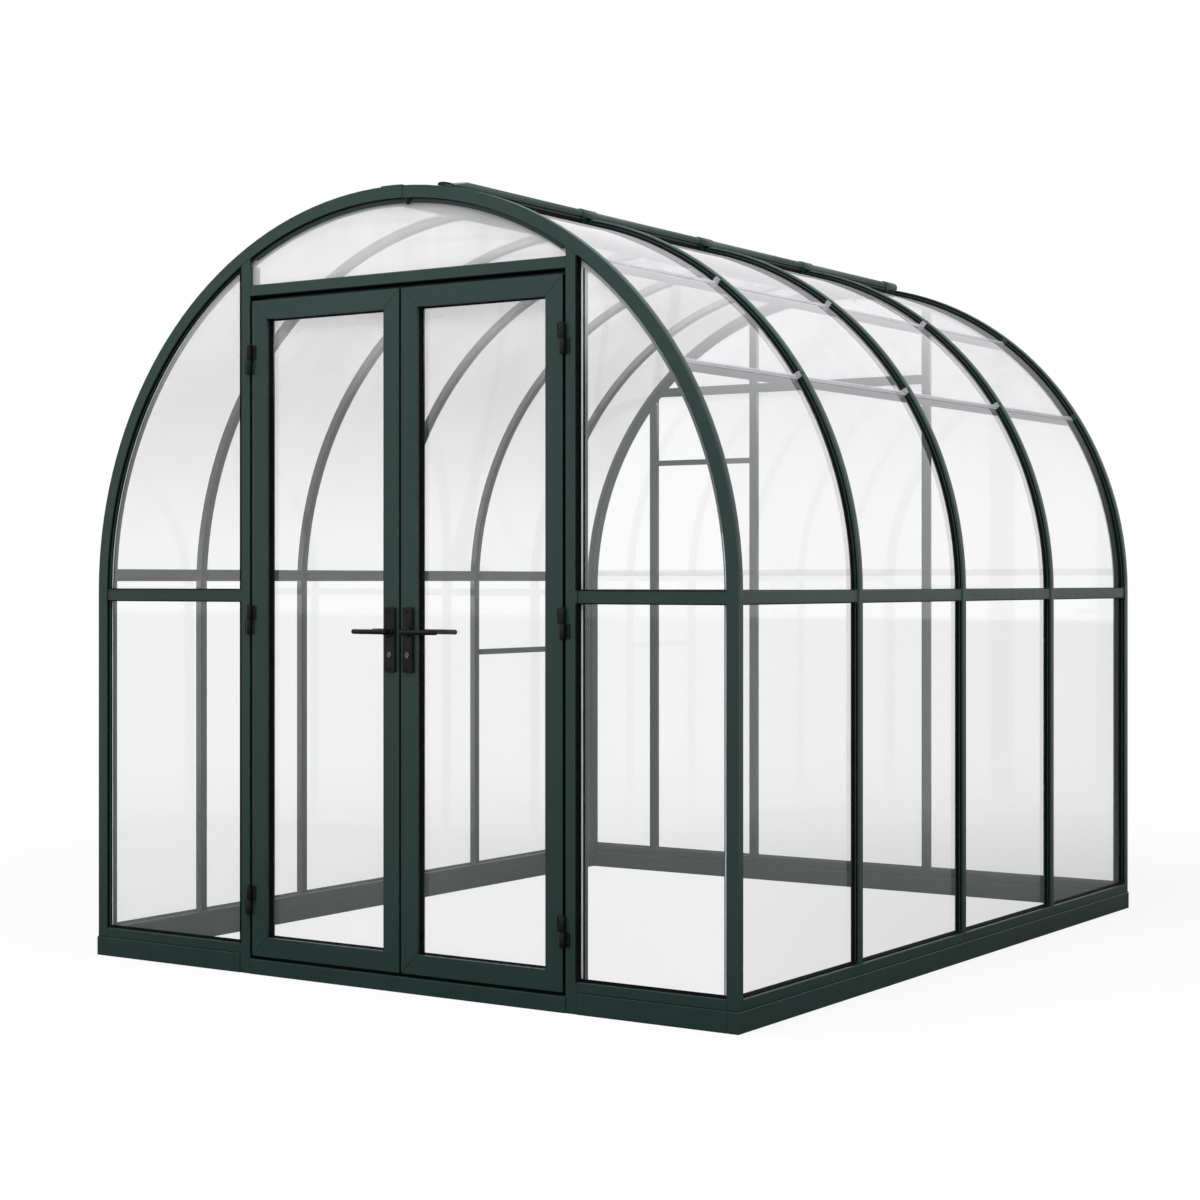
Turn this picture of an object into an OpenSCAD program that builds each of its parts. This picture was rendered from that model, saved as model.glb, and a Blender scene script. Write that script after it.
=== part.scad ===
// Walk-in garden greenhouse with a barrel roof: aluminium frame, clear sheets and a pair of glazed doors.
// The house stands on a low plinth. X runs across the front, +Y from the doors to the back wall, +Z up.
// The origin is the middle of the footprint at ground level.

/* [House] */
// Width over the plinth
house_w = 2440; // [2300:20:2600]
// Length over the plinth
house_l = 2920; // [2600:20:3200]
// Height of the straight walls, up to where the arch starts
spring_h = 1200; // [1200:5:1230]

/* [Plinth and sills] */
// Height of the plinth
plinth_h = 61; // [50:1:70]
// Thickness of the plinth
plinth_t = 53; // [52:1:60]
// How far the plinth stands proud of the frame above it
plinth_proud = 3; // [1:1:5]
// Width of each corner piece of the plinth
corner_w = 35; // [30:1:45]
// Height of the sill rail on the plinth
sill_h = 31; // [25:1:40]
// Depth of the sill rail
sill_t = 50; // [46:1:54]

/* [End frames] */
// Face width of the arched end frames
face_w = 38; // [36:1:44]
// Depth of the arched end frames
face_d = 28; // [27:1:30]
// Width of the flange behind the front sheets
flange_w = 20; // [14:1:24]
// Width of the flange inside the back sheets
back_flange_w = 10; // [8:1:24]
// Face width of the door posts
post_w = 40; // [35:1:45]
// Depth of the door posts and of the header
post_d = 50; // [49:1:52]

/* [Ribs] */
// Bays along the right side
right_bays = 4; // [3:1:5]
// Mean length of the first and last bay along the left side
left_end_bay = 406; // [400:2:460]
// Bays between those two along the left side
left_mid_bays = 4; // [3:1:5]
// How far the left ribs sit towards the back
left_shift = 68; // [0:2:80]
// Width of a rib
rib_w = 30; // [26:1:34]
// Width of the web between the two flanges of a rib
web_w = 12; // [10:1:14]
// How far the caps and frames stand proud of the side sheets
cap_t = 21; // [18:1:22]
// Width of the inner flange of a rib
rib_in_w = 22; // [20:1:28]
// Thickness of the inner flange of a rib
rib_flange_h = 3; // [3:0.5:5]

/* [Rails] */
// Height of a mid rail
rail_h = 36; // [34:1:40]
// Underside of the front, right and back rails
rail_z = 1168; // [1165:1:1171]
// How much higher the left rail sits
left_rail_lift = 66; // [56:1:70]
// Height of the back rails
back_rail_h = 24; // [20:1:34]
// Depth of the rails along the sides
rail_t = 32; // [31:1:36]
// Angle of the low purlin above the spring line
low_purlin_a = 32.8; // [30:0.2:38]
// Angle of the high purlin above the spring line
high_purlin_a = 52.8; // [50:0.2:58]
// Width of the low purlin
low_purlin_w = 28; // [24:1:32]
// Width of the high purlin
high_purlin_w = 20; // [16:1:24]
// Depth of both purlins
purlin_t = 20; // [16:1:24]

/* [Ridge] */
// Width of the ridge beam that the ribs meet
beam_w = 44; // [40:1:50]
// Depth of the ridge beam
beam_t = 46; // [40:1:56]
// Distance of the clamp bar on the roof from the middle
bar_x = 230; // [160:10:260]
// Width of the clamp bar
bar_w = 30; // [26:1:34]
// Height of the clamp bar, with its round top
bar_h = 45; // [40:1:50]

/* [Sheets] */
// Thickness of the clear sheets
pane_t = 4; // [3:0.5:4]
// Gap for a sheet in its groove
groove_w = 6; // [5.5:0.5:6]
// Depth of the grooves
groove_d = 8; // [7:1:9]

/* [Doors] */
// How far the doors sit to the right of the middle
door_x = 48; // [0:2:60]
// Half of the clear width between the door posts
door_half = 600; // [560:10:640]
// Underside of the door header
header_z = 2124; // [2118:1:2150]
// Height of the door header
header_h = 33; // [28:1:36]
// Gap between a leaf and its post
side_gap = 10; // [8:1:12]
// Gap between the two leaves
middle_gap = 8; // [6:1:10]
// Underside of the leaves
leaf_z = 58; // [56:1:60]
// Top of the leaves
leaf_top = 2108; // [2100:1:2112]
// Depth of the leaves
leaf_t = 38; // [36:1:38]
// Width of the four bars round a leaf
stile_w = 60; // [54:1:66]
// Height of the threshold
threshold_h = 47; // [40:1:48]

/* [Door furniture] */
// Length of a hinge
hinge_h = 88; // [84:1:104]
// Radius of a hinge knuckle
knuckle_r = 8; // [7.5:0.5:8.5]
// Height of the lever spindles
spindle_z = 1079; // [1060:1:1100]
// Height of the middle of the handle plates
plate_z = 1055; // [1045:1:1065]
// Width of a handle plate
plate_w = 38; // [34:1:42]
// Length of a handle plate
plate_h = 196; // [180:1:210]
// Length of a lever from its spindle
lever_l = 122; // [110:1:150]

/* [Back wall] */
// Distance of the outer back post from the middle, on the left
back_outer_x = 880; // [850:5:910]
// Distance of the inner back posts from the middle
back_inner_x = 392; // [360:4:440]
// Height of the bar that ties the back posts together
tie_z = 2028; // [2000:1:2050]
// Height of the short bar in the left back bay
short_bar_z = 1730; // [1700:5:1740]

/* [Hidden] */

$fn = 64;
eps = 0.5;
touch = 0.3;
green = [0.22, 0.29, 0.27];
black = [0.06, 0.06, 0.06];
clear = [0.90, 0.93, 0.94, 0.35];

arch_r = house_w / 2 - plinth_proud;
front_y = -(house_l / 2 - plinth_proud);
frame_len = -2 * front_y;
inner_y = front_y + face_d;
sill_top = plinth_h + sill_h;
slack = (groove_w - pane_t) / 2;
side_groove = cap_t;
end_groove = 16;
bead_w = 6;
bead_y = 11;
rib_flange_t = cap_t + groove_w;
rib_t = rib_flange_t + rib_flange_h;
stop_y = 43;
stop_w = 18;
rail_top = rail_z + rail_h;
leaf_in = middle_gap / 2;
leaf_out = door_half - side_gap;
leaf_pane_y = 28;
hinge_x = door_half - side_gap / 2;
hinge_y = front_y - knuckle_r - 1;
hinge_heights = [232, 1110, 1924];
hinge_plate_l = 22;
hinge_plate_t = 3;
pin_r = 3.5;
pin_fit = 0.08;
plate_x = leaf_in + stile_w / 2;
plate_t = 8;
spindle_r = 4.5;
neck_r = 9;
lever_r = 7.5;
lever_out = 36;
right_rib_ys = [for (k = [1 : right_bays - 1]) -house_l / 2 + house_l * k / right_bays];
left_mid_bay = (house_l - 2 * left_end_bay) / left_mid_bays;
left_first_y = -house_l / 2 + left_end_bay + left_shift;
left_rib_ys = [for (k = [0 : left_mid_bays]) left_first_y + left_mid_bay * k];
beam_web = 16;
bar_a = acos(bar_x / arch_r);
left_rail_z = rail_z + left_rail_lift;
left_rail_a = asin((left_rail_z + rail_h / 2 - spring_h) / arch_r);
left_low_bar_z = 945;
low_pane_z0 = sill_top - groove_d + slack;
low_pane_z1 = rail_z + groove_d - slack;
high_pane_z0 = rail_top - groove_d + slack;
back_high_pane_z0 = rail_z + back_rail_h - groove_d + slack;
// The leaning left rail: the tops of the sheets in its lower groove, and the angle at which
// the sheets in its upper groove begin.
left_pane_z1 = spring_h + (arch_r - rib_flange_t) * sin(left_rail_a)
               - (rail_h / 2 - groove_d) * cos(left_rail_a) - slack;
left_roof_a = left_rail_a + asin((rail_h / 2 - groove_d + slack) / (arch_r - rib_flange_t));
back_post_xs = [-back_outer_x, -back_inner_x, back_inner_x];
post_flange_w = 20;
post_flange_y = end_groove + groove_w;

// Distance from the middle of the house to the outer face of a door post: right for 0, left for 1.
function post_outer(s) = door_half + post_w + (s == 0 ? door_x : -door_x);

// Repeats its children on the other side of the middle plane.
module both_sides() {
    children();
    mirror([1, 0, 0]) children();
}

// Puts a part of the doors in its place across the front.
module at_doors() {
    translate([door_x, 0, 0]) children();
}

// Turns a part of the front wall round to the back wall.
module on_back() {
    mirror([0, 1, 0]) children();
}

// A block between two corner points.
module block(a, b) {
    translate(a) cube(b - a);
}

// Sweeps a profile up the right wall and over the right half of the roof.
// In the profile, x is the distance from the middle of the house and y runs along the house.
module hoop(bottom, end_a) {
    translate([0, 0, bottom]) linear_extrude(spring_h - bottom) children();
    translate([0, 0, spring_h]) rotate([90, 0, 0]) rotate_extrude(angle = end_a, $fn = 128)
        mirror([0, 1, 0]) children();
}

// Section of an end frame: a square tube, a bead in front of the end sheet, a flange behind it
// and, in its rear face, the groove for the side sheets.
module end_frame_section(flange) {
    difference() {
        translate([arch_r - face_w, 0]) square([face_w, face_d]);
        translate([arch_r - rib_flange_t, face_d - groove_d - 1]) square([groove_w, groove_d + 2]);
    }
    translate([arch_r - face_w - bead_w, bead_y]) square([bead_w + eps, end_groove - bead_y]);
    translate([arch_r - face_w - flange, end_groove + groove_w])
        square([flange + eps, face_d - end_groove - groove_w]);
}

// Section of a glazing rib: a cap with sloping shoulders, a web and an inner flange.
module rib_section() {
    half = rib_w / 2;
    shoulder = 4;
    translate([arch_r, 0]) {
        polygon([[0, shoulder - half], [0, half - shoulder], [-shoulder, half],
                 [-cap_t, half], [-cap_t, -half], [-shoulder, -half]]);
        translate([-rib_flange_t - eps, -web_w / 2]) square([groove_w + 2 * eps, web_w]);
        translate([-rib_t, -rib_in_w / 2]) square([rib_flange_h, rib_in_w]);
    }
}

// One half of a rib, up to the side of the ridge beam.
module rib() {
    hoop(sill_top, acos((beam_w / 2 + eps) / (arch_r - rib_t))) rib_section();
}

// Section of a rail in a wall, drawn as [inset, height], with a groove above and below for the sheets.
module rail_section(height, depth, groove) {
    difference() {
        square([depth, height]);
        translate([groove, -1]) square([groove_w, groove_d + 1]);
        translate([groove, height - groove_d]) square([groove_w, groove_d + 1]);
    }
}

// A bar along the house whose section is drawn as [inset from the right wall, height].
module along_right(y0, y1, inset) {
    translate([arch_r - inset, y1, 0]) rotate([90, 0, 0]) linear_extrude(y1 - y0)
        mirror([1, 0, 0]) children();
}

// A bar across the front wall whose section is drawn as [depth behind the face, height].
module along_front(x0, x1) {
    translate([x0, front_y, 0]) rotate([90, 0, 90]) linear_extrude(x1 - x0) children();
}

// The space inside a half cylinder along the house, used to trim what meets the arches.
module under_arch(radius, y0, y1) {
    translate([0, y1, spring_h]) rotate([90, 0, 0]) cylinder(r = radius, h = y1 - y0, $fn = 128);
    block([-radius, y0, 0], [radius, y1, spring_h]);
}

// Bays between the ribs of one side, as pairs of the clear ends of their sheets.
function bay_starts(ribs) = concat([inner_y - groove_d + slack], [for (y = ribs) y + web_w / 2 + slack]);
function bay_ends(ribs) = concat([for (y = ribs) y - web_w / 2 - slack], [groove_d - slack - inner_y]);

// Bays between the flanges of the ribs, for rails and purlins.
function clear_starts(ribs) = concat([inner_y], [for (y = ribs) y + rib_w / 2]);
function clear_ends(ribs) = concat([for (y = ribs) y - rib_w / 2], [-inner_y]);

// ---- Plinth ----

module base_front() {
    color(green) for (s = [0, 1]) mirror([s, 0, 0])
        block([post_outer(s), front_y - plinth_proud, 0],
              [house_w / 2 - corner_w, front_y - plinth_proud + plinth_t, plinth_h]);
}

module side_base() {
    end = house_l / 2 - corner_w;
    inner = house_w / 2 - plinth_t;
    difference() {
        block([inner, -end, 0], [house_w / 2, end, plinth_h]);
        for (s = [0, 1]) mirror([0, s, 0])
            block([inner - 1, -end - 1, -1],
                  [house_w / 2 - corner_w, plinth_t - house_l / 2, plinth_h + 1]);
    }
}

module base_left() {
    color(green) mirror([1, 0, 0]) side_base();
}

module base_right() {
    color(green) side_base();
}

module base_back() {
    end = house_w / 2 - corner_w;
    color(green) block([-end, house_l / 2 - plinth_t, 0], [end, house_l / 2, plinth_h]);
}

module base_corners() {
    color(green) both_sides() for (s = [0, 1]) mirror([0, s, 0])
        block([house_w / 2 - corner_w, -house_l / 2, 0], [house_w / 2, corner_w - house_l / 2, plinth_h]);
}

// A low sill with an upstand at its back edge that the leaves close against.
module door_threshold() {
    upstand_h = 17;
    color(green) at_doors() {
        block([-door_half, front_y - plinth_proud, 0],
              [door_half, front_y - plinth_proud + plinth_t, threshold_h]);
        block([-door_half, front_y + stop_y, threshold_h - eps],
              [door_half, front_y + post_d, threshold_h + upstand_h]);
    }
}

// Sill rails on the plinth, each with a groove along its top for the sheets.
module sill_section(depth, groove) {
    difference() {
        square([depth, sill_h]);
        translate([groove, sill_h - groove_d]) square([groove_w, groove_d + 1]);
    }
}

module end_sill(x0, x1, flange) {
    bead_end = arch_r - face_w - flange;
    difference() {
        translate([0, 0, plinth_h]) along_front(x0, x1) sill_section(face_d, end_groove);
        both_sides() block([bead_end, front_y + bead_y, 0], [arch_r, 0, spring_h]);
    }
}

module sill_rails() {
    leg_x = arch_r - face_w;
    color(green) {
        for (s = [0, 1]) mirror([s, 0, 0]) end_sill(post_outer(s), leg_x, flange_w);
        on_back() end_sill(-leg_x, leg_x, back_flange_w);
        both_sides() translate([0, 0, plinth_h]) along_right(inner_y, -inner_y, 0)
            sill_section(sill_t, side_groove);
    }
}

// ---- End frames ----

module end_arch(flange) {
    color(green) translate([0, front_y, 0]) hoop(plinth_h, 90) end_frame_section(flange);
}

module front_arch_right() {
    end_arch(flange_w);
}

module front_arch_left() {
    mirror([1, 0, 0]) end_arch(flange_w);
}

module back_arch_right() {
    on_back() end_arch(back_flange_w);
}

module back_arch_left() {
    on_back() mirror([1, 0, 0]) end_arch(back_flange_w);
}

// A thin cover over the joint at the top of each end frame, folded over its outer edge.
module apex_splices() {
    cover_t = 2;
    cover_a = 3.8;
    cover_start_a = 87.3;
    color(green) for (s = [0, 1]) mirror([0, s, 0]) translate([0, front_y, spring_h])
        rotate([90, 0, 0]) rotate([0, 0, cover_start_a]) rotate_extrude(angle = cover_a, $fn = 128)
        mirror([0, 1, 0]) difference() {
            translate([arch_r - face_w, -cover_t - touch]) square([face_w + cover_t, face_d + cover_t]);
            translate([arch_r - face_w - 1, -touch]) square([face_w + 1 + touch, face_d + cover_t + 1]);
        }
}

// The two door posts. Each has a groove for the side sheet with a flange behind it, a groove
// for the fanlight above the header, and a stop behind the leaf.
module door_post() {
    post_out = door_half + post_w;
    top = 2 * spring_h;
    difference() {
        union() {
            block([door_half, front_y, 0], [post_out, front_y + post_d, top]);
            block([door_half - stop_w, front_y + stop_y, threshold_h + sill_h],
                  [door_half + eps, front_y + post_d, leaf_top - stop_w]);
            block([post_out - eps, front_y + post_flange_y, sill_top + touch],
                  [post_out + post_flange_w, front_y + face_d, top]);
        }
        block([post_out - groove_d, front_y + end_groove, sill_top - groove_d],
              [post_out + 1, front_y + end_groove + groove_w, top + 1]);
        block([door_half - 1, front_y + end_groove, header_z + header_h - groove_d],
              [door_half + groove_d, front_y + end_groove + groove_w, top + 1]);
    }
}

module door_posts() {
    color(green) intersection() {
        at_doors() both_sides() door_post();
        union() {
            under_arch(arch_r - face_w - touch, front_y - 1, front_y + bead_y - touch);
            under_arch(arch_r - face_w - flange_w - touch, front_y + bead_y - touch, front_y + post_d + 1);
        }
    }
}

// The header over the doors, with a stop behind the leaves and a groove for the fanlight.
module door_header() {
    lip_h = 24;
    color(green) at_doors() difference() {
        union() {
            block([-door_half, front_y, header_z], [door_half, front_y + post_d, header_z + header_h]);
            block([-door_half, front_y + stop_y, header_z - lip_h],
                  [door_half, front_y + post_d, header_z + eps]);
        }
        block([-door_half - 1, front_y + end_groove, header_z + header_h - groove_d],
              [door_half + 1, front_y + end_groove + groove_w, header_z + header_h + 1]);
    }
}

// ---- Rails, ribs and purlins ----

module end_rail(x0, x1, height, flange) {
    leg_x = arch_r - face_w - flange;
    set_back = 4;
    difference() {
        translate([0, set_back, rail_z]) along_front(x0, x1)
            rail_section(height, face_d - set_back, end_groove - set_back);
        both_sides() block([leg_x - touch, front_y + bead_y - touch, 0], [arch_r, 0, 2 * spring_h]);
    }
}

// The front rails are notched to pass the flanges of the door posts.
module front_rails() {
    color(green) for (s = [0, 1]) mirror([s, 0, 0]) difference() {
        end_rail(post_outer(s), arch_r - face_w - touch, rail_h, flange_w);
        block([0, front_y + post_flange_y - touch, 0],
              [post_outer(s) + post_flange_w + touch, front_y + face_d + 1, 2 * spring_h]);
    }
}

module right_rail() {
    starts = clear_starts(right_rib_ys);
    ends = clear_ends(right_rib_ys);
    inset = 4;
    color(green) for (k = [0 : len(starts) - 1]) translate([0, 0, rail_z])
        along_right(starts[k], ends[k], inset)
        rail_section(rail_h, rail_t - inset, side_groove - inset);
}

// The left rail sits above the spring line, so it leans in with the start of the arch.
module left_rail() {
    starts = clear_starts(left_rib_ys);
    ends = clear_ends(left_rib_ys);
    inset = 4;
    color(green) mirror([1, 0, 0]) for (k = [0 : len(starts) - 1])
        translate([0, 0, spring_h]) rotate([0, -left_rail_a, 0]) translate([0, 0, -rail_h / 2])
        along_right(starts[k], ends[k], inset)
        rail_section(rail_h, rail_t - inset, side_groove - inset);
}

// Right ribs, with a fine joint across each cap where a purlin meets it.
module right_ribs() {
    joint_w = 2.5;
    joint_d = 3;
    color(green) for (y = right_rib_ys) difference() {
        translate([0, y, 0]) rib();
        for (a = [low_purlin_a, high_purlin_a]) translate([0, y, spring_h]) rotate([0, -a, 0])
            block([arch_r - joint_d, -rib_w, -joint_w / 2], [arch_r + 1, rib_w, joint_w / 2]);
    }
}

module left_ribs() {
    color(green) mirror([1, 0, 0]) for (y = left_rib_ys) translate([0, y, 0]) rib();
}

// Two purlins that run the length of the house just under the right ribs.
module right_purlins() {
    top = arch_r - rib_t - touch;
    color(green) for (row = [[low_purlin_a, low_purlin_w], [high_purlin_a, high_purlin_w]])
        translate([0, 0, spring_h]) rotate([0, -row[0], 0])
        block([top - purlin_t, inner_y, -row[1] / 2], [top, -inner_y, row[1] / 2]);
}

// A short glazing bar across one bay of the left wall.
module left_low_bar() {
    height = 22;
    depth = 14;
    x0 = rib_flange_t - arch_r;
    last = len(left_rib_ys) - 1;
    y0 = left_rib_ys[last - 1] + rib_in_w / 2;
    y1 = left_rib_ys[last] - rib_in_w / 2;
    color(green) block([x0 + touch, y0, left_low_bar_z - height / 2],
                       [x0 + depth, y1, left_low_bar_z + height / 2]);
}

// ---- Ridge ----

// The ridge beam has a groove along each side for the top edges of the roof sheets.
module ridge_beam() {
    top = spring_h + arch_r;
    color(green) difference() {
        block([-beam_w / 2, inner_y, top - beam_t], [beam_w / 2, -inner_y, top]);
        both_sides() block([beam_web / 2, inner_y - 1, top - side_groove - groove_w],
                           [beam_w, 1 - inner_y, top - side_groove]);
    }
}

// The clamp bar: a round-topped bar lying on the roof sheets. It is cut away where it crosses the end
// frames and the right ribs, held by a saddle on each rib, capped at the back and sloped at the front.
module ridge_bar() {
    over = 12;
    cap_l = 90;
    wrap = 3;
    saddle_l = 84;
    saddle_h = 6;
    nose_l = 110;
    nose_h = 5;
    front_end = -frame_len / 2;
    back_end = frame_len / 2 + over;
    reach = 2 * bar_w;
    module bar_shape(grow, y0, y1) {
        translate([0, y1, 0]) rotate([90, 0, 0]) linear_extrude(y1 - y0) {
            translate([-bar_w / 2 - grow, 0]) square([bar_w + 2 * grow, bar_h - bar_w / 2]);
            translate([0, bar_h - bar_w / 2]) circle(r = bar_w / 2 + grow);
        }
    }
    color(green) translate([0, 0, spring_h]) rotate([0, 90 - bar_a, 0])
        translate([0, 0, arch_r - side_groove + touch]) difference() {
            union() {
                bar_shape(0, front_end, back_end - 2);
                bar_shape(wrap, back_end - cap_l, back_end);
                for (y = right_rib_ys) {
                    bar_shape(wrap, y - saddle_l / 2, y + saddle_l / 2);
                    block([-bar_w, y - saddle_l / 2, side_groove],
                          [bar_w, y + saddle_l / 2, side_groove + saddle_h]);
                }
            }
            for (y = right_rib_ys) block([-reach, y - rib_w / 2 - touch, -1],
                                         [reach, y + rib_w / 2 + touch, side_groove]);
            block([-reach, front_end - 1, -1], [reach, inner_y + touch, side_groove]);
            block([-reach, -inner_y - touch, -1], [reach, back_end + 1, side_groove]);
            translate([-reach, front_end, side_groove + nose_h])
                rotate([90, 0, 90]) linear_extrude(2 * reach)
                polygon([[-1, 0], [0, 0], [nose_l, bar_h - side_groove], [-1, bar_h - side_groove]]);
        }
}

// ---- Back wall ----

// Back posts with a groove down each side for the sheets.
module back_posts() {
    half = rib_w / 2;
    set_back = 6;
    top = 2 * spring_h;
    color(green) on_back() for (x = back_post_xs) intersection() {
        difference() {
            block([x - half, front_y + set_back, sill_top], [x + half, front_y + face_d, top]);
            for (s = [0, 1]) translate([x, front_y + end_groove, 0]) mirror([s, 0, 0])
                block([web_w / 2, 0, 0], [half + 1, groove_w, top + 1]);
        }
        under_arch(arch_r - face_w - back_flange_w - touch, front_y - 1, 0);
    }
}

// Short rails between the back posts.
module back_rails() {
    half = rib_w / 2;
    leg_x = arch_r - face_w - touch;
    starts = concat([-leg_x], [for (x = back_post_xs) x + half]);
    ends = concat([for (x = back_post_xs) x - half], [leg_x]);
    color(green) on_back() for (k = [0 : len(starts) - 1])
        end_rail(starts[k], ends[k], back_rail_h, back_flange_w);
}

// A bar inside the back sheets, fixed to the back posts.
module back_bar(x0, x1, z, height) {
    depth = 18;
    back_bar_y = front_y + end_groove + groove_w + touch;
    color(green) on_back() intersection() {
        block([x0, back_bar_y, z - height / 2], [x1, back_bar_y + depth, z + height / 2]);
        under_arch(arch_r - face_w - back_flange_w - touch, front_y - 1, 0);
    }
}

module back_tie_bar() {
    half = rib_w / 2;
    height = 36;
    back_bar(-arch_r, -back_inner_x - half, tie_z, height);
    back_bar(half - back_inner_x, back_inner_x - half, tie_z, height);
}

module back_short_bar() {
    half = rib_w / 2;
    height = 22;
    back_bar(half - back_outer_x, -back_inner_x - half, short_bar_z, height);
}

// ---- Sheets ----

// A flat sheet in an end wall, cut to the arch.
module end_pane(x0, x1, z0, z1) {
    y0 = front_y + end_groove + slack;
    intersection() {
        block([x0, y0, z0], [x1, y0 + pane_t, z1]);
        under_arch(arch_r - face_w - slack, y0 - 1, y0 + pane_t + 1);
    }
}

module front_panes() {
    edge = groove_d - slack;
    color(clear) for (s = [0, 1]) mirror([s, 0, 0]) {
        end_pane(post_outer(s) - edge, arch_r, low_pane_z0, low_pane_z1);
        end_pane(post_outer(s) - edge, arch_r, high_pane_z0, 2 * spring_h);
    }
}

module fanlight_pane() {
    reach = door_half + groove_d - slack;
    z0 = header_z + header_h - groove_d + slack;
    color(clear) end_pane(door_x - reach, door_x + reach, z0, 3 * spring_h);
}

module back_panes() {
    edge = web_w / 2 + slack;
    starts = concat([-arch_r], [for (x = back_post_xs) x + edge]);
    ends = concat([for (x = back_post_xs) x - edge], [arch_r]);
    color(clear) on_back() for (k = [0 : len(starts) - 1]) {
        end_pane(starts[k], ends[k], low_pane_z0, low_pane_z1);
        end_pane(starts[k], ends[k], back_high_pane_z0, 3 * spring_h);
    }
}

// Flat sheets between the ribs, from the sill to the mid rail.
module wall_panes(ribs, top) {
    starts = bay_starts(ribs);
    ends = bay_ends(ribs);
    x1 = arch_r - side_groove - slack;
    color(clear) for (k = [0 : len(starts) - 1])
        block([x1 - pane_t, starts[k], low_pane_z0], [x1, ends[k], top]);
}

module right_wall_panes() {
    wall_panes(right_rib_ys, low_pane_z1);
}

module left_wall_panes() {
    mirror([1, 0, 0]) wall_panes(left_rib_ys, left_pane_z1);
}

// Curved sheets between the ribs, from the mid rail up to the ridge beam.
module roof_panes(ribs, start_a) {
    starts = bay_starts(ribs);
    ends = bay_ends(ribs);
    r1 = arch_r - side_groove - slack;
    end_a = acos((beam_web / 2 + slack) / r1);
    color(clear) for (k = [0 : len(starts) - 1])
        translate([0, ends[k], spring_h]) rotate([90, 0, 0]) rotate([0, 0, start_a])
        rotate_extrude(angle = end_a - start_a, $fn = 128)
        translate([r1 - pane_t, 0]) square([pane_t, ends[k] - starts[k]]);
}

module right_roof_panes() {
    roof_panes(right_rib_ys, 0);
}

module left_roof_panes() {
    mirror([1, 0, 0]) roof_panes(left_rib_ys, left_roof_a);
}

// ---- Doors ----

// The fixed half of each hinge: a plate on the post, the lower knuckle and the pin.
module frame_hinges() {
    pin_short = 6;
    face = front_y - hinge_y;
    color(black) at_doors() both_sides() for (z = hinge_heights) translate([hinge_x, hinge_y, z]) {
        translate([0, 0, -hinge_h / 2]) cylinder(r = knuckle_r, h = hinge_h / 2 - eps);
        translate([0, 0, -1]) cylinder(r = pin_r, h = hinge_h / 2 - pin_short + 1);
        block([0, face - hinge_plate_t, -hinge_h / 2], [hinge_plate_l, face, -eps]);
    }
}

// The moving half of each hinge: a plate on the leaf and the upper knuckle.
module leaf_hinges() {
    bore_short = 5;
    face = front_y - hinge_y;
    color(black) for (z = hinge_heights) translate([hinge_x, hinge_y, z]) difference() {
        union() {
            translate([0, 0, eps]) cylinder(r = knuckle_r, h = hinge_h / 2 - eps);
            block([-hinge_plate_l, face - hinge_plate_t, eps], [0, face, hinge_h / 2]);
        }
        translate([0, 0, -1]) cylinder(r = pin_r + pin_fit, h = hinge_h / 2 - bore_short + 1);
    }
}

// One bar of a leaf, mitred at both ends, with a groove for the sheet along its inner edge.
// It lies along X from its outer edge at z = 0, and the hairline at each mitre keeps the bars apart.
module mitred_bar(length, width) {
    gap = 0.3;
    difference() {
        translate([0, leaf_t, 0]) rotate([90, 0, 0]) linear_extrude(leaf_t)
            polygon([[gap, 0], [length - gap, 0], [length - width - gap, width], [width + gap, width]]);
        block([-1, leaf_pane_y, width - groove_d], [length + 1, leaf_pane_y + groove_w, width + 1]);
    }
}

// The frame of the right leaf: two stiles and two rails, with a hole for the spindle.
module door_leaf() {
    leaf_w = leaf_out - leaf_in;
    leaf_h = leaf_top - leaf_z;
    color(green) translate([leaf_in, front_y, leaf_z]) {
        mitred_bar(leaf_w, stile_w);
        translate([0, 0, leaf_h]) mirror([0, 0, 1]) mitred_bar(leaf_w, stile_w);
        difference() {
            rotate([0, 90, 0]) mirror([1, 0, 0]) mitred_bar(leaf_h, stile_w);
            translate([stile_w / 2, -1, spindle_z - leaf_z]) rotate([-90, 0, 0])
                cylinder(r = spindle_r + 1.5, h = leaf_t + 2);
        }
        translate([leaf_w, 0, 0]) mirror([1, 0, 0]) rotate([0, 90, 0]) mirror([1, 0, 0])
            mitred_bar(leaf_h, stile_w);
    }
}

module door_pane() {
    edge = stile_w - groove_d + slack;
    color(clear) block([leaf_in + edge, front_y + leaf_pane_y + slack, leaf_z + edge],
                       [leaf_out - edge, front_y + leaf_pane_y + slack + pane_t, leaf_top - edge]);
}

// A long plate with rounded corners on each face of the meeting stile.
module handle_plates() {
    corner_r = 7;
    color(black) for (y = [front_y, front_y + leaf_t + plate_t]) translate([plate_x, y, plate_z])
        rotate([90, 0, 0]) linear_extrude(plate_t) difference() {
            union() {
                square([plate_w - 2 * corner_r, plate_h], center = true);
                square([plate_w, plate_h - 2 * corner_r], center = true);
                for (x = [-1, 1], z = [-1, 1])
                    translate([x * (plate_w / 2 - corner_r), z * (plate_h / 2 - corner_r)])
                    circle(r = corner_r);
            }
            translate([0, spindle_z - plate_z]) circle(r = neck_r + eps);
        }
}

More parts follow.
